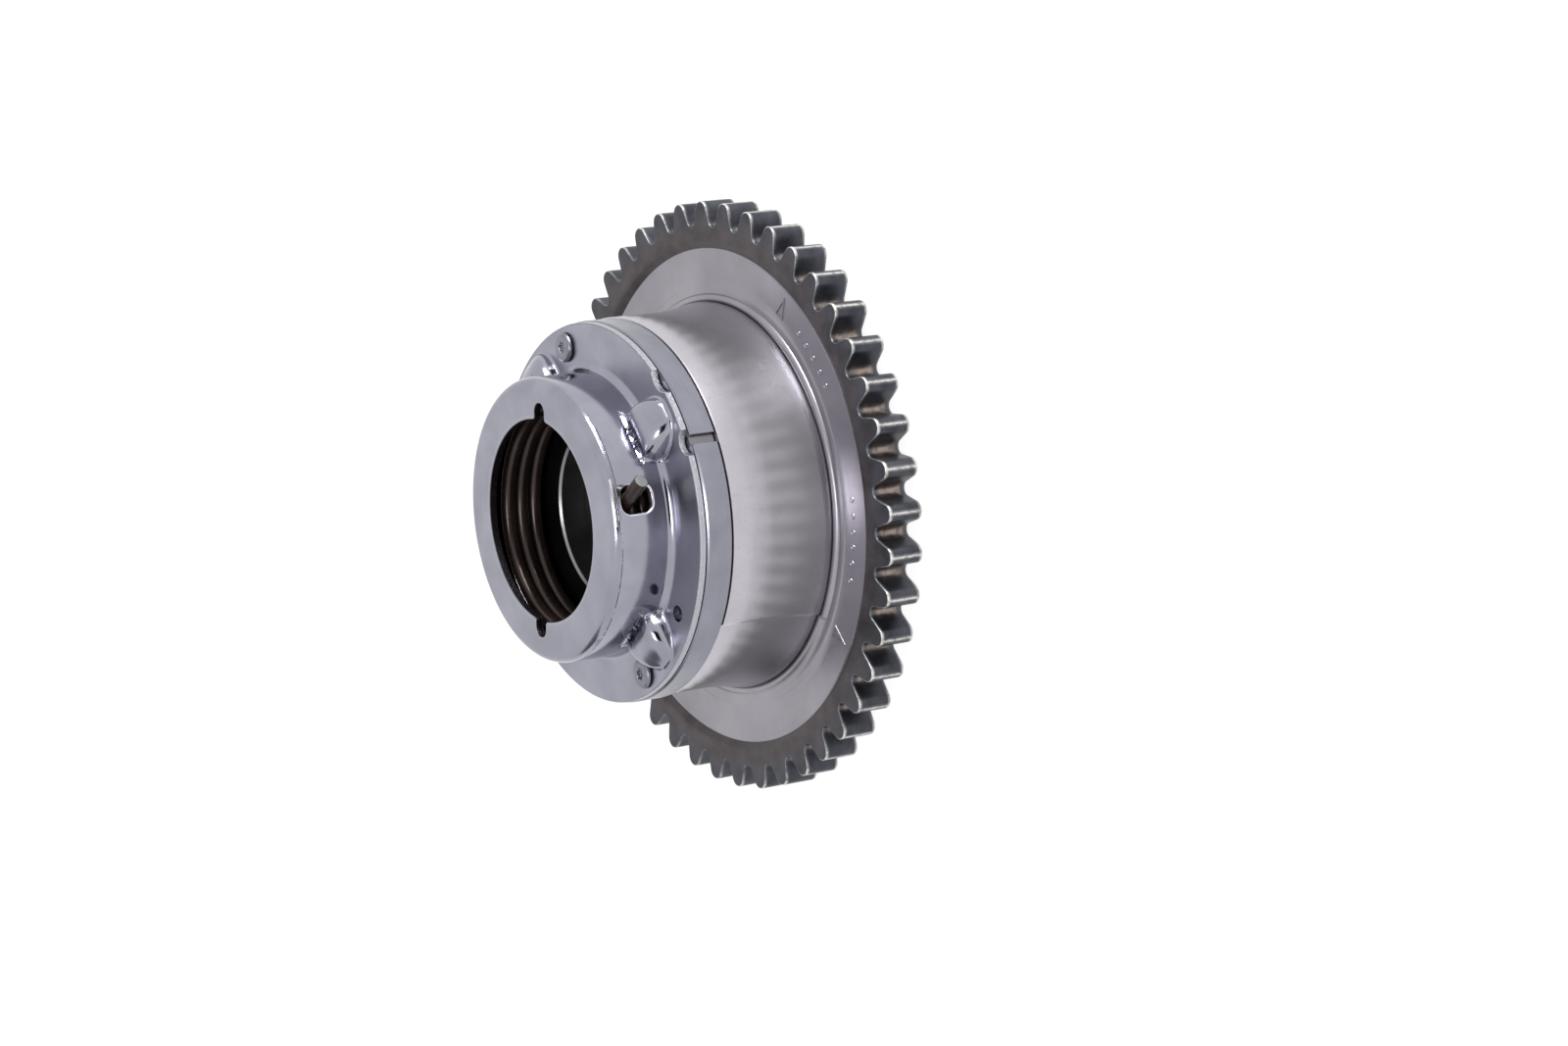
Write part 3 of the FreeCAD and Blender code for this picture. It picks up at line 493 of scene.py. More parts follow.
def housing():
    """Rim, web and barrel: rows of circles and tooth outlines joined into one closed skin, lobes inside."""
    outline, root_count, half_count, tooth_columns = tooth_outline(0.0)
    angle = np.degrees(np.arctan2(outline[:, 1], outline[:, 0]))
    relief = smoothstep(-0.5, 0.5, turned(angle, relief_from)) * smoothstep(-0.5, 0.5, -turned(angle, relief_to))
    rows, zones = [], []
    for radius, height, inset, zone in housing_rows():
        if radius is None:
            shape, *_ = tooth_outline(inset)
            points = np.c_[shape, np.full(len(shape), height)]
        else:
            cut = relief_depth * relief * (radius < bead_radius + 2 * bead_rounding) * (height > web_height + 0.25)
            points = on_circle(radius - cut, angle, height)
        rows.append(points)
        zones.append(zone)
    in_lobe = np.min([np.abs(turned(angle, lobe_middle + 90 * k)) for k in range(4)], axis=0) < lobe_half_angle
    chamber = np.where(in_lobe, hub_radius, chamber_radius)
    for radius, height in ((chamber, barrel_front), (chamber, web_height), (recess_radius, web_height)):
        rows.append(on_circle(radius, angle, height))
        zones.append(1)
    points = np.array(rows)
    column = np.arange(len(outline)) % tooth_columns
    from_root = np.minimum(column, tooth_columns - column)
    crown = half_count - 1
    on_tooth = np.array([row[0] is None for row in housing_rows()] + [False] * 3)
    height = points[:, 0, 2]
    inset = np.array([row[2] for row in housing_rows()] + [0.0] * 3)
    below_face = np.minimum(height, rim_width - height)
    face_edge = on_tooth & (below_face < edge_break) & (inset < edge_break)
    on_flank = on_tooth & (inset < edge_break * 0.6)
    between = smoothstep(0.4, 1.6, below_face)
    ridge = np.clip(1.0 - np.abs(from_root - crown) / 1.2, 0, 1)
    exposed = 0.15 + 0.85 * smoothstep(root_count, half_count - 3, from_root)
    wear_and_highlight = np.maximum(face_edge[:, None] * exposed[None, :] * 0.9, on_flank[:, None] * ridge[None, :])
    # A painted highlight along the relief's edges, carried in the same mask as the teeth's worn edges.
    edge_of_relief = np.exp(-(turned(angle, relief_to) / 0.5) ** 2) + np.exp(-(turned(angle, relief_from) / 0.5) ** 2)
    cut_rows = (~on_tooth) & (height > web_height + 1.5) & (height < barrel_front - 0.2)
    wear_and_highlight = np.maximum(wear_and_highlight, cut_rows[:, None] * edge_of_relief[None, :])
    # Light band in the tooth roots: partly chain polish, partly a painted reflection.
    polish_and_reflection = (on_flank * between)[:, None] * np.clip(1.3 - from_root / (root_count - 1.5), 0, 1)[None, :]
    flank = np.repeat(on_tooth[:, None].astype(float), len(outline), axis=1)
    # The barrel mask lets the blasted finish paint the barrel's wall lighter than the web, as painted light.
    on_barrel = (~on_tooth) & (height > web_height + 1.5)
    barrel = np.repeat(on_barrel[:, None].astype(float), len(outline), axis=1)
    piece = grid_piece("toothed_housing", points, "housing", [rim_steel, blasted], zones,
                       masks={"wear_and_highlight": wear_and_highlight, "polish_and_reflection": polish_and_reflection, "flank": flank, "barrel": barrel})
    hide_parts("sprocket_housing")


def web_marks():
    """Timing marks raised on the web: two rows of round pips, and two plain triangle outlines."""
    vertices, faces = [], []

    def add_grid(points, cap):
        rows, columns, _ = points.shape
        index = np.arange(rows * columns).reshape(rows, columns) + len(vertices)
        beside = np.roll(index, -1, axis=1)
        faces.extend(np.stack([index[:-1], beside[:-1], beside[1:], index[1:]], axis=-1).reshape(-1, 4).tolist())
        if cap:
            faces.append(index[-1].tolist())
        vertices.extend(map(tuple, (points * MM).reshape(-1, 3)))

    turn = np.arange(0, 360, 30.0)
    for angle in dot_angles:
        centre = on_circle(dot_circle, angle, 0.0)
        rows = [(dot_radius, -0.03), (dot_radius * 0.86, dot_height), (dot_radius * 0.68, dot_height),
                (dot_radius * 0.4, 0.01)]
        add_grid(np.array([centre + on_circle(radius, turn, web_height + rise) for radius, rise in rows]), True)
    for angle in triangle_angles:
        corners = np.array([[triangle_outer, 0.0], [triangle_inner, triangle_width / 2], [triangle_inner, -triangle_width / 2]])
        middle = corners.mean(axis=0)
        rows = []
        for share, rise in ((1.0, -0.03), (0.96, 0.2), (0.93 - triangle_line / 2, 0.2), (0.88 - triangle_line / 2, -0.03)):
            shape = middle + (corners - middle) * share
            radius, away = np.hypot(*shape.T), np.degrees(np.arctan2(shape[:, 1], shape[:, 0]))
            rows.append(on_circle(radius, angle + away, web_height + rise))
        add_grid(np.array(rows), False)
    mesh = bpy.data.meshes.new("web_marks")
    mesh.from_pydata(vertices, [], faces)
    mesh.materials.append(blasted)
    piece = bpy.data.objects.new("web_marks", mesh)
    bpy.context.scene.collection.objects.link(piece)
    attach(piece, "housing")


# Front ring


def front_ring():
    """Turned ring: a closed profile carried round the axis, with a round-ended groove milled in its rim."""
    angle = np.unique(np.r_[np.arange(0, 360, 0.75), groove_angle + np.linspace(-2.0, 2.0, 60)])
    front = [(ring_bore, ring_front - ring_bore_chamfer), (ring_bore + ring_bore_chamfer, ring_front)]
    front += [(21.0, ring_front), (30.0, ring_front), (flange_radius - 0.35, ring_front)]
    front += [(ring_radius - ring_chamfer, ring_front)]
    heights = np.r_[ring_front - ring_chamfer, ring_front - 0.45, ring_front - np.linspace(0.6, 1.9, 9), 29.0,
                    barrel_front + ring_chamfer]
    rim = [(ring_radius, height) for height in heights]
    back = [(ring_radius - ring_chamfer, barrel_front), (24.0, barrel_front), (ring_bore, barrel_front)]
    profile = front + rim + back
    # Zone 1 paints near black shade: on the face inside the mouth, on a thin band where the cover's flange edge meets
    # the ring, and on the rear chamfer against the barrel.
    zones = [2, 1, 1, 0, 1, 0] + [0] * (len(rim) - 1) + [1, 0, 3, 3]
    across = np.abs(turned(angle, groove_angle)) * math.radians(1) * ring_radius
    # The groove mask is half strength across the groove, for its own tone, and full along its walls, as painted shade.
    inside = smoothstep(-0.05, 0.05, groove_half_width - across)
    floor = 1 - smoothstep(0.0, 0.25, np.abs(across - groove_half_width + 0.1))
    rows, cut = [], []
    for radius, height in profile:
        on_rim = radius > ring_radius - groove_depth
        rows.append(on_circle(radius - groove_depth * inside * on_rim, angle, height))
        cut.append((inside + floor * inside) / 2 * on_rim)
    piece = grid_piece("front_ring", np.array(rows), "housing", [ring_steel, painted_shade_black, bright_edge, bore_steel],
                       zones, flip=True, masks={"groove": cut})
    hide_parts("front_plate")


# Drawn cover


def fillet_union(first, second, size):
    """Joins two signed distances with a round fillet of the given size where both are near."""
    near = np.hypot(np.maximum(size - first, 0), np.maximum(size - second, 0))
    return np.where((first < size) & (second < size), size - near, np.minimum(first, second))


def cover_distance(radius, height, angle):
    """Distance outside the cover's skin.

    A rounded drum stands on a flat flange with a fillet. Each gusset is a dome joined on with a
    small fillet, and a dent between it and the wall, with a straight lip along a chord.
    """
    flange_top = ring_front + sheet
    over_wall = radius - (wall_radius - corner_rounding)
    over_top = height - (cover_face - corner_rounding)
    drum = np.hypot(np.maximum(over_wall, 0), np.maximum(over_top, 0))
    drum = drum + np.minimum(np.maximum(over_wall, over_top), 0) - corner_rounding
    skin = fillet_union(drum, height - flange_top, foot_rounding)
    for middle in dome_angles:
        away = np.radians(turned(angle, middle))
        out, side = radius * np.cos(away), radius * np.sin(away)
        length = np.where(out < dome_circle, dome_inner_length, dome_length)
        reach = np.stack(np.broadcast_arrays(out - dome_circle, side, height - ring_front + dome_sink))
        halves = np.stack(np.broadcast_arrays(length, dome_width, dome_height + 0 * reach[0]))
        across = np.sum(np.abs(reach[1:] / halves[1:]) ** dome_squareness, axis=0) ** (2 / dome_squareness)
        share = np.sqrt((reach[0] / halves[0]) ** 2 + across)
        ball = share * (share - 1) / np.maximum(np.sqrt(np.sum((reach / halves ** 2) ** 2, axis=0)), 1e-6)
        skin = fillet_union(skin, ball, dome_fillet)
        top = ring_front + crease_height
        slope = np.array([crease_drop, -crease_depth]) / math.hypot(crease_drop, crease_depth)
        under_strip = (out - crease_chord) * slope[0] + (height - top) * slope[1]
        above_floor = (height - (top - crease_drop)) - crease_slope * (out - crease_chord + crease_depth)
        between_ends = crease_half_length - np.abs(side) - crease_taper * (top - height)
        wedge = fillet_union(fillet_union(under_strip, above_floor, dent_rounding), between_ends * 0.7, dent_rounding)
        skin = -fillet_union(-skin, -wedge, crease_rounding)
    return skin


def relaxed(points, angle, level, fixed):
    """Rows slid onto the skin where the distance equals level, and spread evenly along it.

    Each pass moves a point halfway to the middle of its neighbours in its own section, then down
    the slope of the distance, found by small steps in radius and height. Fixed rows stay.
    """
    step = 0.01
    radius, height = points
    moving = ~fixed[:, None]
    for index in range(90):
        for values in (radius, height):
            middle = (np.roll(values, 1, axis=0) + np.roll(values, -1, axis=0)) / 2
            values += np.where(moving, (middle - values) * 0.5, 0)
        for _ in range(2):
            gap = cover_distance(radius, height, angle) - level
            slope_r = (cover_distance(radius + step, height, angle) - gap - level) / step
            slope_h = (cover_distance(radius, height + step, angle) - gap - level) / step
            size = np.maximum(slope_r ** 2 + slope_h ** 2, 0.25)
            radius -= np.where(moving, gap * slope_r / size, 0)
            height -= np.where(moving, gap * slope_h / size, 0)
    return radius, height


def flange_edge(angle):
    """Flange radius with round bites, each a circle arc of the given width and depth."""
    radius = np.full(angle.shape, flange_radius)
    for middle, width, depth in scallops:
        bite = (width ** 2 / 4 + depth ** 2) / (2 * depth)
        centre = flange_radius - depth + bite
        away = np.radians(turned(angle, middle))
        inside = bite ** 2 - (centre * np.sin(away)) ** 2
        near = centre * np.cos(away) - np.sqrt(np.maximum(inside, 0))
        radius = np.where((inside > 0) & (np.abs(away) < 0.3), np.minimum(radius, near), radius)
    return radius


def mouth_outline(angle):
    """Points of the mouth: a circle with a round-ended notch at each side, spread evenly by length."""
    reach = 10.0
    end = notch_reach - notch_half_width
    across = notch_half_width + notch_shoulder
    root_turn = math.asin(across / (mouth_radius + notch_shoulder))
    lead = np.linspace(math.radians(reach), root_turn, 30)
    out = (mouth_radius + notch_shoulder) * math.cos(root_turn)
    shoulder = np.linspace(math.pi + root_turn, 1.5 * math.pi, 12)
    side = np.linspace(out, end, 12)
    cap = np.radians(np.linspace(90, 0, 60))
    half = np.vstack([
        np.c_[mouth_radius * np.cos(lead), mouth_radius * np.sin(lead)],
        np.c_[out + notch_shoulder * np.cos(shoulder), across + notch_shoulder * np.sin(shoulder)][1:],
        np.c_[side, np.full(12, notch_half_width)][1:],
        np.c_[end + notch_half_width * np.cos(cap), notch_half_width * np.sin(cap)][1:],
    ])
    half = np.vstack([half, half[-2::-1] * [1, -1]])
    length = np.r_[0, np.cumsum(np.hypot(*np.diff(half, axis=0).T))]
    points = on_circle(mouth_radius, angle, 0.0)[:, :2]
    for middle in (90.0, -90.0):
        away = turned(angle, middle)
        near = np.abs(away) < reach
        along = (reach - away[near]) / (2 * reach) * length[-1]
        x, y = np.interp(along, length, half[:, 0]), np.interp(along, length, half[:, 1])
        turn = math.radians(middle)
        points[near] = np.c_[x * math.cos(turn) - y * math.sin(turn), x * math.sin(turn) + y * math.cos(turn)]
    return points


def cover_columns():
    """Angles of the cover's sections, closer together at the domes and the notches."""
    spans = [(middle, 14.5, 0.4) for middle in dome_angles[1:]]
    spans += [(dome_angles[0], 17.0, 0.4), (90.0, 10.0, 0.3), (270.0, 10.0, 0.3)]
    plain = np.arange(0, 360, 2.0)
    for middle, reach, _ in spans:
        plain = plain[np.abs(turned(plain, middle)) > reach]
    angle = [plain] + [middle + np.arange(-reach, reach, step) for middle, reach, step in spans]
    angle = np.unique(np.round(np.concatenate(angle) % 360, 3))
    return angle[np.r_[True, np.diff(angle) > 0.15]]


def cover_skin_rows(angle, level, count):
    """One side of the sheet, from the flat of the face to the flange's edge, as (row, column) radius and height."""
    inset = -level
    top = cover_face - inset
    corner = corner_rounding - inset
    foot = foot_rounding + inset
    flange = ring_front + sheet - inset
    wall = wall_radius - inset
    quarter = np.radians(np.linspace(90, 0, 8))
    radius = list(wall - corner + corner * np.cos(quarter))
    height = list(top - corner + corner * np.sin(quarter))
    wall_heights = np.linspace(top - corner, flange + foot, count)[1:]
    radius += [wall] * len(wall_heights)
    height += list(wall_heights)
    bend = np.radians(np.linspace(180, 270, 6))[1:]
    radius += list(wall + foot + foot * np.cos(bend))
    height += list(flange + foot + foot * np.sin(bend))
    radius = np.repeat(np.array(radius)[:, None], len(angle), axis=1)
    height = np.repeat(np.array(height)[:, None], len(angle), axis=1)
    edge = flange_edge(angle) - (sheared_break if level == 0 else burr_break)
    share = np.linspace(0, 1, count)[1:, None]
    radius = np.vstack([radius, radius[-1:] * (1 - share) + edge * share])
    height = np.vstack([height, np.full((len(share), len(angle)), flange)])
    fixed = np.zeros(len(radius), bool)
    fixed[:9] = True
    fixed[-1] = True
    return relaxed([radius, height], angle[None, :], level, fixed)


def face_rows(angle, height, circle):
    """Flat rows from the mouth's edge to a circle, straight between the two."""
    edge = np.c_[mouth_outline(angle), np.full(len(angle), height)]
    rim = on_circle(circle, angle, height)
    away = rim - edge
    away /= np.linalg.norm(away, axis=1, keepdims=True)
    start = edge + away * sheared_break
    return [start * (1 - share) + rim * share for share in (0, 0.12, 0.35, 0.65)]


def slot_cutter():
    """Round-cornered window for the wire, its mouth opened by a small bevel where it leaves the wall."""
    turn = np.radians(np.arange(0, 360, 6.0) + 3.0)
    corner_x = np.sign(np.cos(turn)) * (slot_width / 2 - slot_corner)
    corner_z = np.sign(np.sin(turn)) * (slot_height / 2 - slot_corner)
    rows = []
    for radius, grow in ((coil_radius + wire_radius + 0.6, -1.6), (coil_radius + wire_radius + 0.8, 0.0),
                         (wall_radius - 0.3, 0.0), (wall_radius + 0.02, 0.32), (wall_radius + 1.2, 0.6)):
        across = corner_x + (slot_corner + grow) * np.cos(turn)
        up = corner_z + (slot_corner + grow) * np.sin(turn)
        angle = slot_angle + np.degrees(across / wall_radius)
        rows.append(on_circle(radius, angle, ring_front + slot_centre + up))
    return np.array(rows)


def round_cutter(angle, circle, radius):
    """Round bar through the flange."""
    turn = np.radians(np.arange(0, 360, 7.5))
    centre = on_circle(circle, angle, 0.0)
    heights = (ring_front - 0.6, ring_front + sheet + 0.6)
    return np.array([centre + np.c_[radius * np.cos(turn), radius * np.sin(turn), np.full(len(turn), h)] for h in heights])


def capped(points):
    """Vertices and faces of a tube of rings closed with a face at each end, turned outwards."""
    rows, columns, _ = points.shape
    index = np.arange(rows * columns).reshape(rows, columns)
    beside = np.roll(index, -1, axis=1)
    quads = np.stack([index[:-1], beside[:-1], beside[1:], index[1:]], axis=-1).reshape(-1, 4)
    return points.reshape(-1, 3) * MM, [list(q) for q in quads] + [list(index[0][::-1]), list(index[-1])]


def cut_away(piece, cutters):
    """Takes closed tubes out of a piece with an exact boolean."""
    mesh = bpy.data.meshes.new("cutter")
    vertices, faces = [], []
    for points in cutters:
        corners, sides = capped(points)
        faces += [[corner + len(vertices) for corner in side] for side in sides]
        vertices += [tuple(corner) for corner in corners]
    mesh.from_pydata(vertices, [], faces)
    cutter = bpy.data.objects.new("cutter", mesh)
    bpy.context.scene.collection.objects.link(cutter)
    modifier = piece.modifiers.new("cut", "BOOLEAN")
    modifier.operation = "DIFFERENCE"
    modifier.solver = "EXACT"
    modifier.object = cutter
    bpy.context.view_layer.update()
    result = bpy.data.meshes.new_from_object(piece.evaluated_get(bpy.context.evaluated_depsgraph_get()))
    piece.modifiers.clear()
    piece.data = result
    bpy.data.objects.remove(cutter)
    result.set_sharp_from_angle(angle=math.radians(32))


def true_normals(piece):
    """Shades both skins of the sheet by the slope of the distance, so that creases stay clean."""
    mesh = piece.data
    points = np.empty(len(mesh.vertices) * 3, np.float32)
    mesh.vertices.foreach_get("co", points)
    x, y, z = points.reshape(-1, 3).T.astype(float) / MM

    def distance(x, y, z):
        return cover_distance(np.hypot(x, y), z, np.degrees(np.arctan2(y, x)))

    step = 0.02
    here = distance(x, y, z)
    slope = np.stack([
        distance(x + step, y, z) - distance(x - step, y, z),
        distance(x, y + step, z) - distance(x, y - step, z),
        distance(x, y, z + step) - distance(x, y, z - step),
    ], axis=-1)
    slope /= np.maximum(np.linalg.norm(slope, axis=1, keepdims=True), 1e-9)
    near_skin = 0.03
    side = np.where(np.abs(here) < near_skin, 1, np.where(np.abs(here + sheet) < near_skin, -1, 0))
    normals = np.empty(len(mesh.loops) * 3, np.float32)
    mesh.corner_normals.foreach_get("vector", normals)
    normals = normals.reshape(-1, 3)
    corner = np.empty(len(mesh.loops), np.int32)
    mesh.loops.foreach_get("vertex_index", corner)
    wanted = (slope * side[:, None])[corner]
    close = np.sum(wanted * normals, axis=1) > 0.6
    normals[close] = wanted[close]
    mesh.normals_split_custom_set(normals)


def brighten_window(piece):
    """Gives the bevel round the wire's window a near-white colour: the bare punched edge, with a painted highlight in
    it.
    """
    mesh = piece.data
    mesh.materials.append(bare_edge_highlight)
    centre = np.empty(len(mesh.polygons) * 3, np.float32)
    normal = np.empty(len(mesh.polygons) * 3, np.float32)
    mesh.polygons.foreach_get("center", centre)
    mesh.polygons.foreach_get("normal", normal)
    x, y, z = centre.reshape(-1, 3).T / MM
    radius, angle = np.hypot(x, y), np.degrees(np.arctan2(y, x))
    outward = np.sum(normal.reshape(-1, 3)[:, :2] * np.stack([x, y], axis=1), axis=1) / radius
    near = (np.abs(turned(angle, slot_angle)) < slot_width / wall_radius * 57.3 * 0.8) & (z > ring_front + 3.5)
    on_bevel = near & (radius > wall_radius - 0.45) & (radius < wall_radius + 0.05) & (outward < 0.93)
    slots = np.zeros(len(mesh.polygons), np.int32)
    mesh.polygons.foreach_get("material_index", slots)
    slots[on_bevel] = len(mesh.materials) - 1
    mesh.polygons.foreach_set("material_index", slots)


def cover():
    """Both sides of the sheet, joined at the mouth and at the flange's edge, with its holes cut."""
    angle = cover_columns()
    outer_r, outer_z = cover_skin_rows(angle, 0.0, 62)
    inner_r, inner_z = cover_skin_rows(angle, -sheet, 9)
    edge = flange_edge(angle)
    flange_top = ring_front + sheet
    rim = [on_circle(edge, angle, flange_top - sheared_break), on_circle(edge, angle, ring_front + burr_break)]
    mouth = mouth_outline(angle)
    lips = [np.c_[mouth, np.full(len(angle), height)]
            for height in (cover_face - sheet + sheared_break, cover_face - sheared_break)]
    face_circle = wall_radius - corner_rounding
    rows = [*face_rows(angle, cover_face, face_circle), *on_circle(outer_r, angle, outer_z), *rim,
            *on_circle(inner_r, angle, inner_z)[::-1], *face_rows(angle, cover_face - sheet, face_circle)[::-1], *lips]
    sheared = np.zeros(len(rows))
    outer_rows = 4 + len(outer_r)
    sheared[outer_rows - 1:outer_rows + 3] = 1
    sheared[0] = 0.6
    sheared[-3:] = 1
    points = np.array(rows)
    # The lip mask marks the cut edge round the mouth, which the zinc finish paints dark as painted shade.
    lip = np.zeros(len(rows))
    lip[-2:] = 1
    masks = {"sheared": np.repeat(sheared[:, None], len(angle), axis=1),
             "lip": np.repeat(lip[:, None], len(angle), axis=1)}
    piece = grid_piece("drawn_cover", points, None, [zinc], flip=True, masks=masks)
    holes = [slot_cutter(), round_cutter(pin_hole_angle, pin_hole_circle, pin_hole_radius)]
    holes += [round_cutter(middle, screw_circle, screw_shank_radius + 0.02) for middle in screw_angles]
    cut_away(piece, holes)
    true_normals(piece)
    brighten_window(piece)
    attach(piece, "housing")
    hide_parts("spring_cover")


def cover_screws():
    """Low round heads: a profile carried round each screw, its recess a circle with six soft lobes."""
    turn = np.arange(0, 360, 5.0)
    lobes = 1 + 0.13 * np.cos(6 * np.radians(turn))
    top = ring_front + sheet
    crown = top + screw_head_height
    profile = [(0.02, crown - 0.6, 0), (0.7, crown - 0.6, 1), (0.88, crown - 0.5, 1), (1.0, crown - 0.08, 1)]
    profile += [(1.1, crown, 1), (1.6, crown, 0), (2.25, crown - 0.02, 0), (2.52, crown - 0.12, 0)]
    profile += [(2.7, crown - 0.35, 0), (screw_head_radius, crown - 0.62, 0), (screw_head_radius, top + 0.05, 0)]
    profile += [(screw_head_radius - 0.1, top, 0), (screw_shank_radius, top, 0)]
    profile += [(screw_shank_radius, top - screw_length + 0.3, 0), (screw_shank_radius - 0.3, top - screw_length, 0)]
    profile += [(0.02, top - screw_length, 0)]
    meshes = []
    for angle in screw_angles:
        centre = on_circle(screw_circle, angle, 0.0)
        rows = [on_circle(radius * (lobes if lobed else 1.0), turn, height) + centre for radius, height, lobed in profile]
        meshes.append(np.array(rows))
    return meshes


def screws():
    for index, points in enumerate(cover_screws()):
        zones = np.zeros(len(points), int)
        # The lower sides of each head are painted near black: painted shade where the head meets the cover.
        zones[9:11] = 1
        piece = grid_piece(f"cover_screw_{index + 1}", points, "housing", [screw_steel, painted_shade_black], zones, flip=True)
        if index == 0:
            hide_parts("cover_screws")


# Torsion spring


def bend(start, before, after, radius):
    """Points of an arc that leaves start along before and ends along after."""
    turn = math.acos(np.clip(before @ after, -1, 1))
    inward = after - before * (before @ after)
    inward /= np.linalg.norm(inward)
    steps = np.linspace(0, turn, 14)[1:, None]
    return start + radius * (before * np.sin(steps) + inward * (1 - np.cos(steps)))


def spring_path():
    """Middle line of the wire: straight end, bend, coil, bend, short run, bend, straight leg."""
    front_height = ring_front + coil_front
    rear_height = ring_front + wire_radius + coil_seat_gap
    turns = (front_height - rear_height) / coil_pitch
    share = np.linspace(0, 1, int(turns * 120))
    coil = on_circle(coil_radius, coil_front_angle - 360 * turns * share, front_height + (rear_height - front_height) * share)
    slope = math.atan(coil_pitch / (2 * math.pi * coil_radius))
    leaving = on_circle(math.cos(slope), coil_front_angle + 90, math.sin(slope))
    fall = math.radians(tang_drop_angle)
    outward = on_circle(math.cos(fall), tang_direction, -math.sin(fall))
    tang_bend = bend(coil[0], leaving, outward, tang_bend_radius)
    tang = tang_bend[-1] + outward * np.linspace(0, tang_length, 8)[1:, None]
    rear_angle = coil_front_angle - 360 * turns
    backing = on_circle(math.cos(slope), rear_angle - 90, -math.sin(slope))
    inward = on_circle(-1.0, rear_angle, 0.0)
    leg_bend = bend(coil[-1], backing, inward, leg_bend_radius)
    run = leg_bend[-1] + inward * leg_run
    down_bend = bend(run, inward, np.array([0, 0, -1.0]), leg_bend_radius)
    foot = down_bend[-1].copy()
    foot[2] = barrel_front - 0.05 - leg_depth
    leg = down_bend[-1] + (foot - down_bend[-1]) * np.linspace(0, 1, 8)[1:, None]
    return np.vstack([tang[::-1], tang_bend[::-1], coil, leg_bend, [run], down_bend, leg])


def torsion_spring():
    """Round wire: circles square to the path, kept from twisting, with slightly broken end edges."""
    path = spring_path()
    ahead = np.gradient(path, axis=0)
    ahead /= np.linalg.norm(ahead, axis=1, keepdims=True)
    side = np.cross(ahead, [0, 0, 1.0])
    flat = np.linalg.norm(side, axis=1) < 0.3
    side[~flat] /= np.linalg.norm(side[~flat], axis=1, keepdims=True)
    for index in np.flatnonzero(flat):
        last = side[index - 1]
        side[index] = last - ahead[index] * (last @ ahead[index])
        side[index] /= np.linalg.norm(side[index])
    up = np.cross(side, ahead)
    turn = np.radians(np.arange(0, 360, 15.0))[:, None]
    ring = [point + wire_radius * (np.cos(turn) * s + np.sin(turn) * u) for point, s, u in zip(path, side, up)]
    closed = []
    for end, inner in ((0, 1), (-1, -1)):
        centre = path[end]
        closed.append([centre + (ring[end] - centre) * 0.02, centre + (ring[end] - centre) * 0.9])
    ring[0] = ring[0] + ahead[0] * 0.12
    ring[-1] = ring[-1] - ahead[-1] * 0.12
    rows = closed[0] + ring + closed[1][::-1]
    zones = np.r_[1, np.zeros(len(rows) - 1, int)]
    piece = grid_piece("coil_spring", np.array(rows), None, [wire_steel, cut_steel], zones, wrap_rows=False, flip=False)
    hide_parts("torsion_spring")
    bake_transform(piece)


def flexing_spring(name, toward):
    """A copy of a spring's own solid, in place of its frame node, which is hidden."""
    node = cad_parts[name]
    mesh = node.data.copy()
    mesh.transform(node.matrix_world)
    piece = bpy.data.objects.new(f"flexing_{name}", mesh)
    bpy.context.scene.collection.objects.link(piece)
    corners = np.empty(len(mesh.vertices) * 3, np.float32)
    mesh.vertices.foreach_get("co", corners)
    corners = corners.reshape(-1, 3)
    toward = np.array(toward, float)
    toward /= np.linalg.norm(toward)
    middle = corners.mean(axis=0)
    middle -= toward * (middle @ toward)
    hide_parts(name)
    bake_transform(piece)


def flexing_springs():
    """Copies of the small springs of the lock pin and the seals."""
    flexing_spring("lock_pin_spring", (0, 0, -1))
    for kind, base, sign in (("vane", "rotor", 1), ("lobe", "housing", -1)):
        for index in range(1, 5):
            low, high = low_high(f"{kind}_seal_{index}")
            outward = (low + high) * [1, 1, 0]
            flexing_spring(f"{kind}_seal_spring_{index}", outward * sign)


def dress_frame_nodes():
    """Finishes for the nodes that keep their own solids."""
    finishes = {
        "back_plate": plate_steel, "clamp_bolts": screw_steel, "rotor": rotor_painted_shade, "lock_pin": pin_steel,
        "lock_pin_cap": pin_steel, "lock_pin_spring": wire_steel, "lock_bush": pin_steel,
        "back_dowel": pin_steel, "front_dowel": pin_steel,
    }
    for name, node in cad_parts.items():
        material = finishes.get(name)
        if material is None:
            material = wire_steel if "spring" in name else seal_plastic
        node.data.materials.clear()
        node.data.materials.append(material)


# Camera, floor and light

camera_distance = 675.44
camera_azimuth = 15.095
camera_elevation = 33.128
camera_roll = 98.095
aim_right = 6.549
aim_up = -5.810
camera_lens = 81.23
sensor_width = 36.0


def make_camera():
    """The photograph's camera: far off along azimuth and elevation, rolled about its own axis."""
    azimuth, elevation, roll = (math.radians(a) for a in (camera_azimuth, camera_elevation, camera_roll))
    back = Vector((math.cos(elevation) * math.cos(azimuth), math.cos(elevation) * math.sin(azimuth), math.sin(elevation)))
    level_right = Vector((0, 0, 1)).cross(back).normalized()
    level_up = back.cross(level_right)
    up = level_up * math.cos(roll) + level_right * math.sin(roll)
    right = up.cross(back)
    place = (back * camera_distance + right * aim_right + up * aim_up) * MM
    camera = bpy.data.objects.new("camera", bpy.data.cameras.new("camera"))
    camera.data.lens = camera_lens
    camera.data.sensor_width = sensor_width
    camera.data.clip_start = 0.05
    camera.data.clip_end = 20
    turn = Matrix((right, up, back)).transposed().to_4x4()
    camera.matrix_world = Matrix.Translation(place) @ turn
    bpy.context.scene.collection.objects.link(camera)
    bpy.context.scene.camera = camera


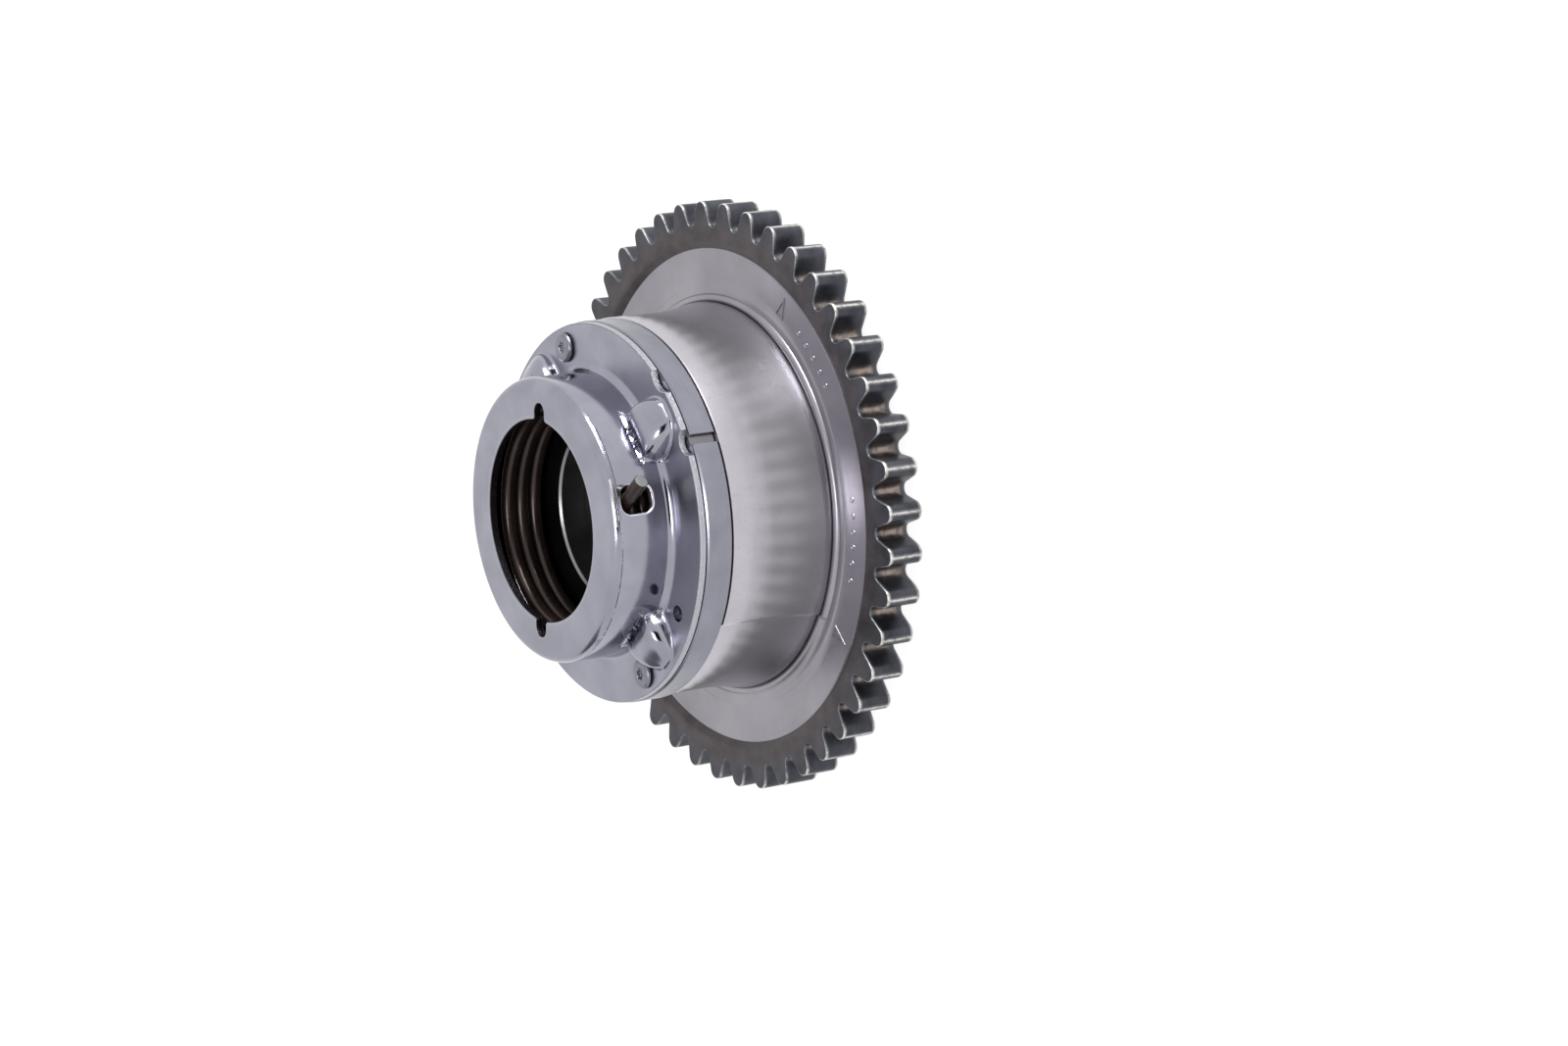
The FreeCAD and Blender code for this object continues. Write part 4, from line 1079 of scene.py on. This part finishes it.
def seen_rays(tree):
    """1 for rays from the camera, off a mirror or through glass, 0 for the rest."""
    path = add(tree, "ShaderNodeLightPath")
    either = math_node(tree, "MAXIMUM", path.outputs["Is Camera Ray"], path.outputs["Is Glossy Ray"])
    return math_node(tree, "MAXIMUM", either, path.outputs["Is Transmission Ray"])


def floor():
    """White floor: it glows for seen rays, so it stays white, and a dull part on top keeps the shadow."""
    material = bpy.data.materials.new("white_floor")
    material.use_nodes = True
    tree = material.node_tree
    tree.nodes.clear()
    glow = add(tree, "ShaderNodeEmission", {
        "Color": srgb("#FFFFFF"), "Strength": math_node(tree, "MULTIPLY", seen_rays(tree), 0.84),
    })
    dull = add(tree, "ShaderNodeBsdfDiffuse", {"Color": srgb("#9A9A9A")})
    both = add(tree, "ShaderNodeAddShader", {0: glow.outputs[0], 1: dull.outputs[0]})
    add(tree, "ShaderNodeOutputMaterial", {"Surface": both.outputs[0]})
    size = 6.0
    mesh = bpy.data.meshes.new("floor")
    mesh.from_pydata([(-size, -size, -0.0002), (size, -size, -0.0002), (size, size, -0.0002), (-size, size, -0.0002)],
                     [], [(0, 1, 2, 3)])
    mesh.materials.append(material)
    ground = bpy.data.objects.new("floor", mesh)
    bpy.context.scene.collection.objects.link(ground)


def soft_light(name, place, aim, size, watts, size_y=None):
    """A rectangular softbox at place, in metres, turned to aim."""
    light = bpy.data.lights.new(name, "AREA")
    light.shape = "RECTANGLE"
    light.size = size
    light.size_y = size_y or size
    light.energy = watts
    lamp = bpy.data.objects.new(name, light)
    direction = Vector(aim) - Vector(place)
    lamp.matrix_world = Matrix.Translation(place) @ direction.to_track_quat("-Z", "Y").to_matrix().to_4x4()
    bpy.context.scene.collection.objects.link(lamp)
    return lamp


def dark_card(name, place, aim, width, height, tone):
    """A black card that only the part's reflections see, as the dark places of a studio."""
    material = bpy.data.materials.new(name)
    material.use_nodes = True
    tree = material.node_tree
    tree.nodes.clear()
    black = add(tree, "ShaderNodeBsdfDiffuse", {"Color": srgb(tone)})
    add(tree, "ShaderNodeOutputMaterial", {"Surface": black.outputs[0]})
    mesh = bpy.data.meshes.new(name)
    x, y = width / 2, height / 2
    mesh.from_pydata([(-x, -y, 0), (x, -y, 0), (x, y, 0), (-x, y, 0)], [], [(0, 1, 2, 3)])
    mesh.materials.append(material)
    card = bpy.data.objects.new(name, mesh)
    direction = Vector(aim) - Vector(place)
    card.matrix_world = Matrix.Translation(place) @ direction.to_track_quat("-Z", "Y").to_matrix().to_4x4()
    card.visible_camera = False
    card.visible_shadow = False
    bpy.context.scene.collection.objects.link(card)


def studio():
    """Even grey room, white for seen rays, with softboxes above and beside the part."""
    world = bpy.data.worlds.new("studio")
    bpy.context.scene.world = world
    world.use_nodes = True
    tree = world.node_tree
    tree.nodes.clear()
    strength = ramp(tree, seen_rays(tree), 0, 1, 0.5, 1.0)
    sky = add(tree, "ShaderNodeBackground", {"Color": srgb("#FFFFFF"), "Strength": strength})
    add(tree, "ShaderNodeOutputWorld", {"Surface": sky.outputs[0]})
    centre = (0, 0, 0.025)
    soft_light("key", (0.62, 0.05, 0.85), centre, 0.35, 3.0)
    soft_light("side", (0.26, 0.96, 0.14), centre, 0.5, 12.0, size_y=0.24)
    dark_card("camera_card", (0.62, 0.17, 0.41), centre, 0.42, 0.42, "#060606")
    dark_card("low_card", (-0.2, -0.75, 0.35), centre, 0.35, 0.5, "#8A8A8A")


def main():
    make_camera()
    studio()
    floor()
    dress_frame_nodes()
    housing()
    web_marks()
    front_ring()
    cover()
    screws()
    torsion_spring()
    flexing_springs()
    bpy.context.scene.view_settings.view_transform = "Standard"


main()
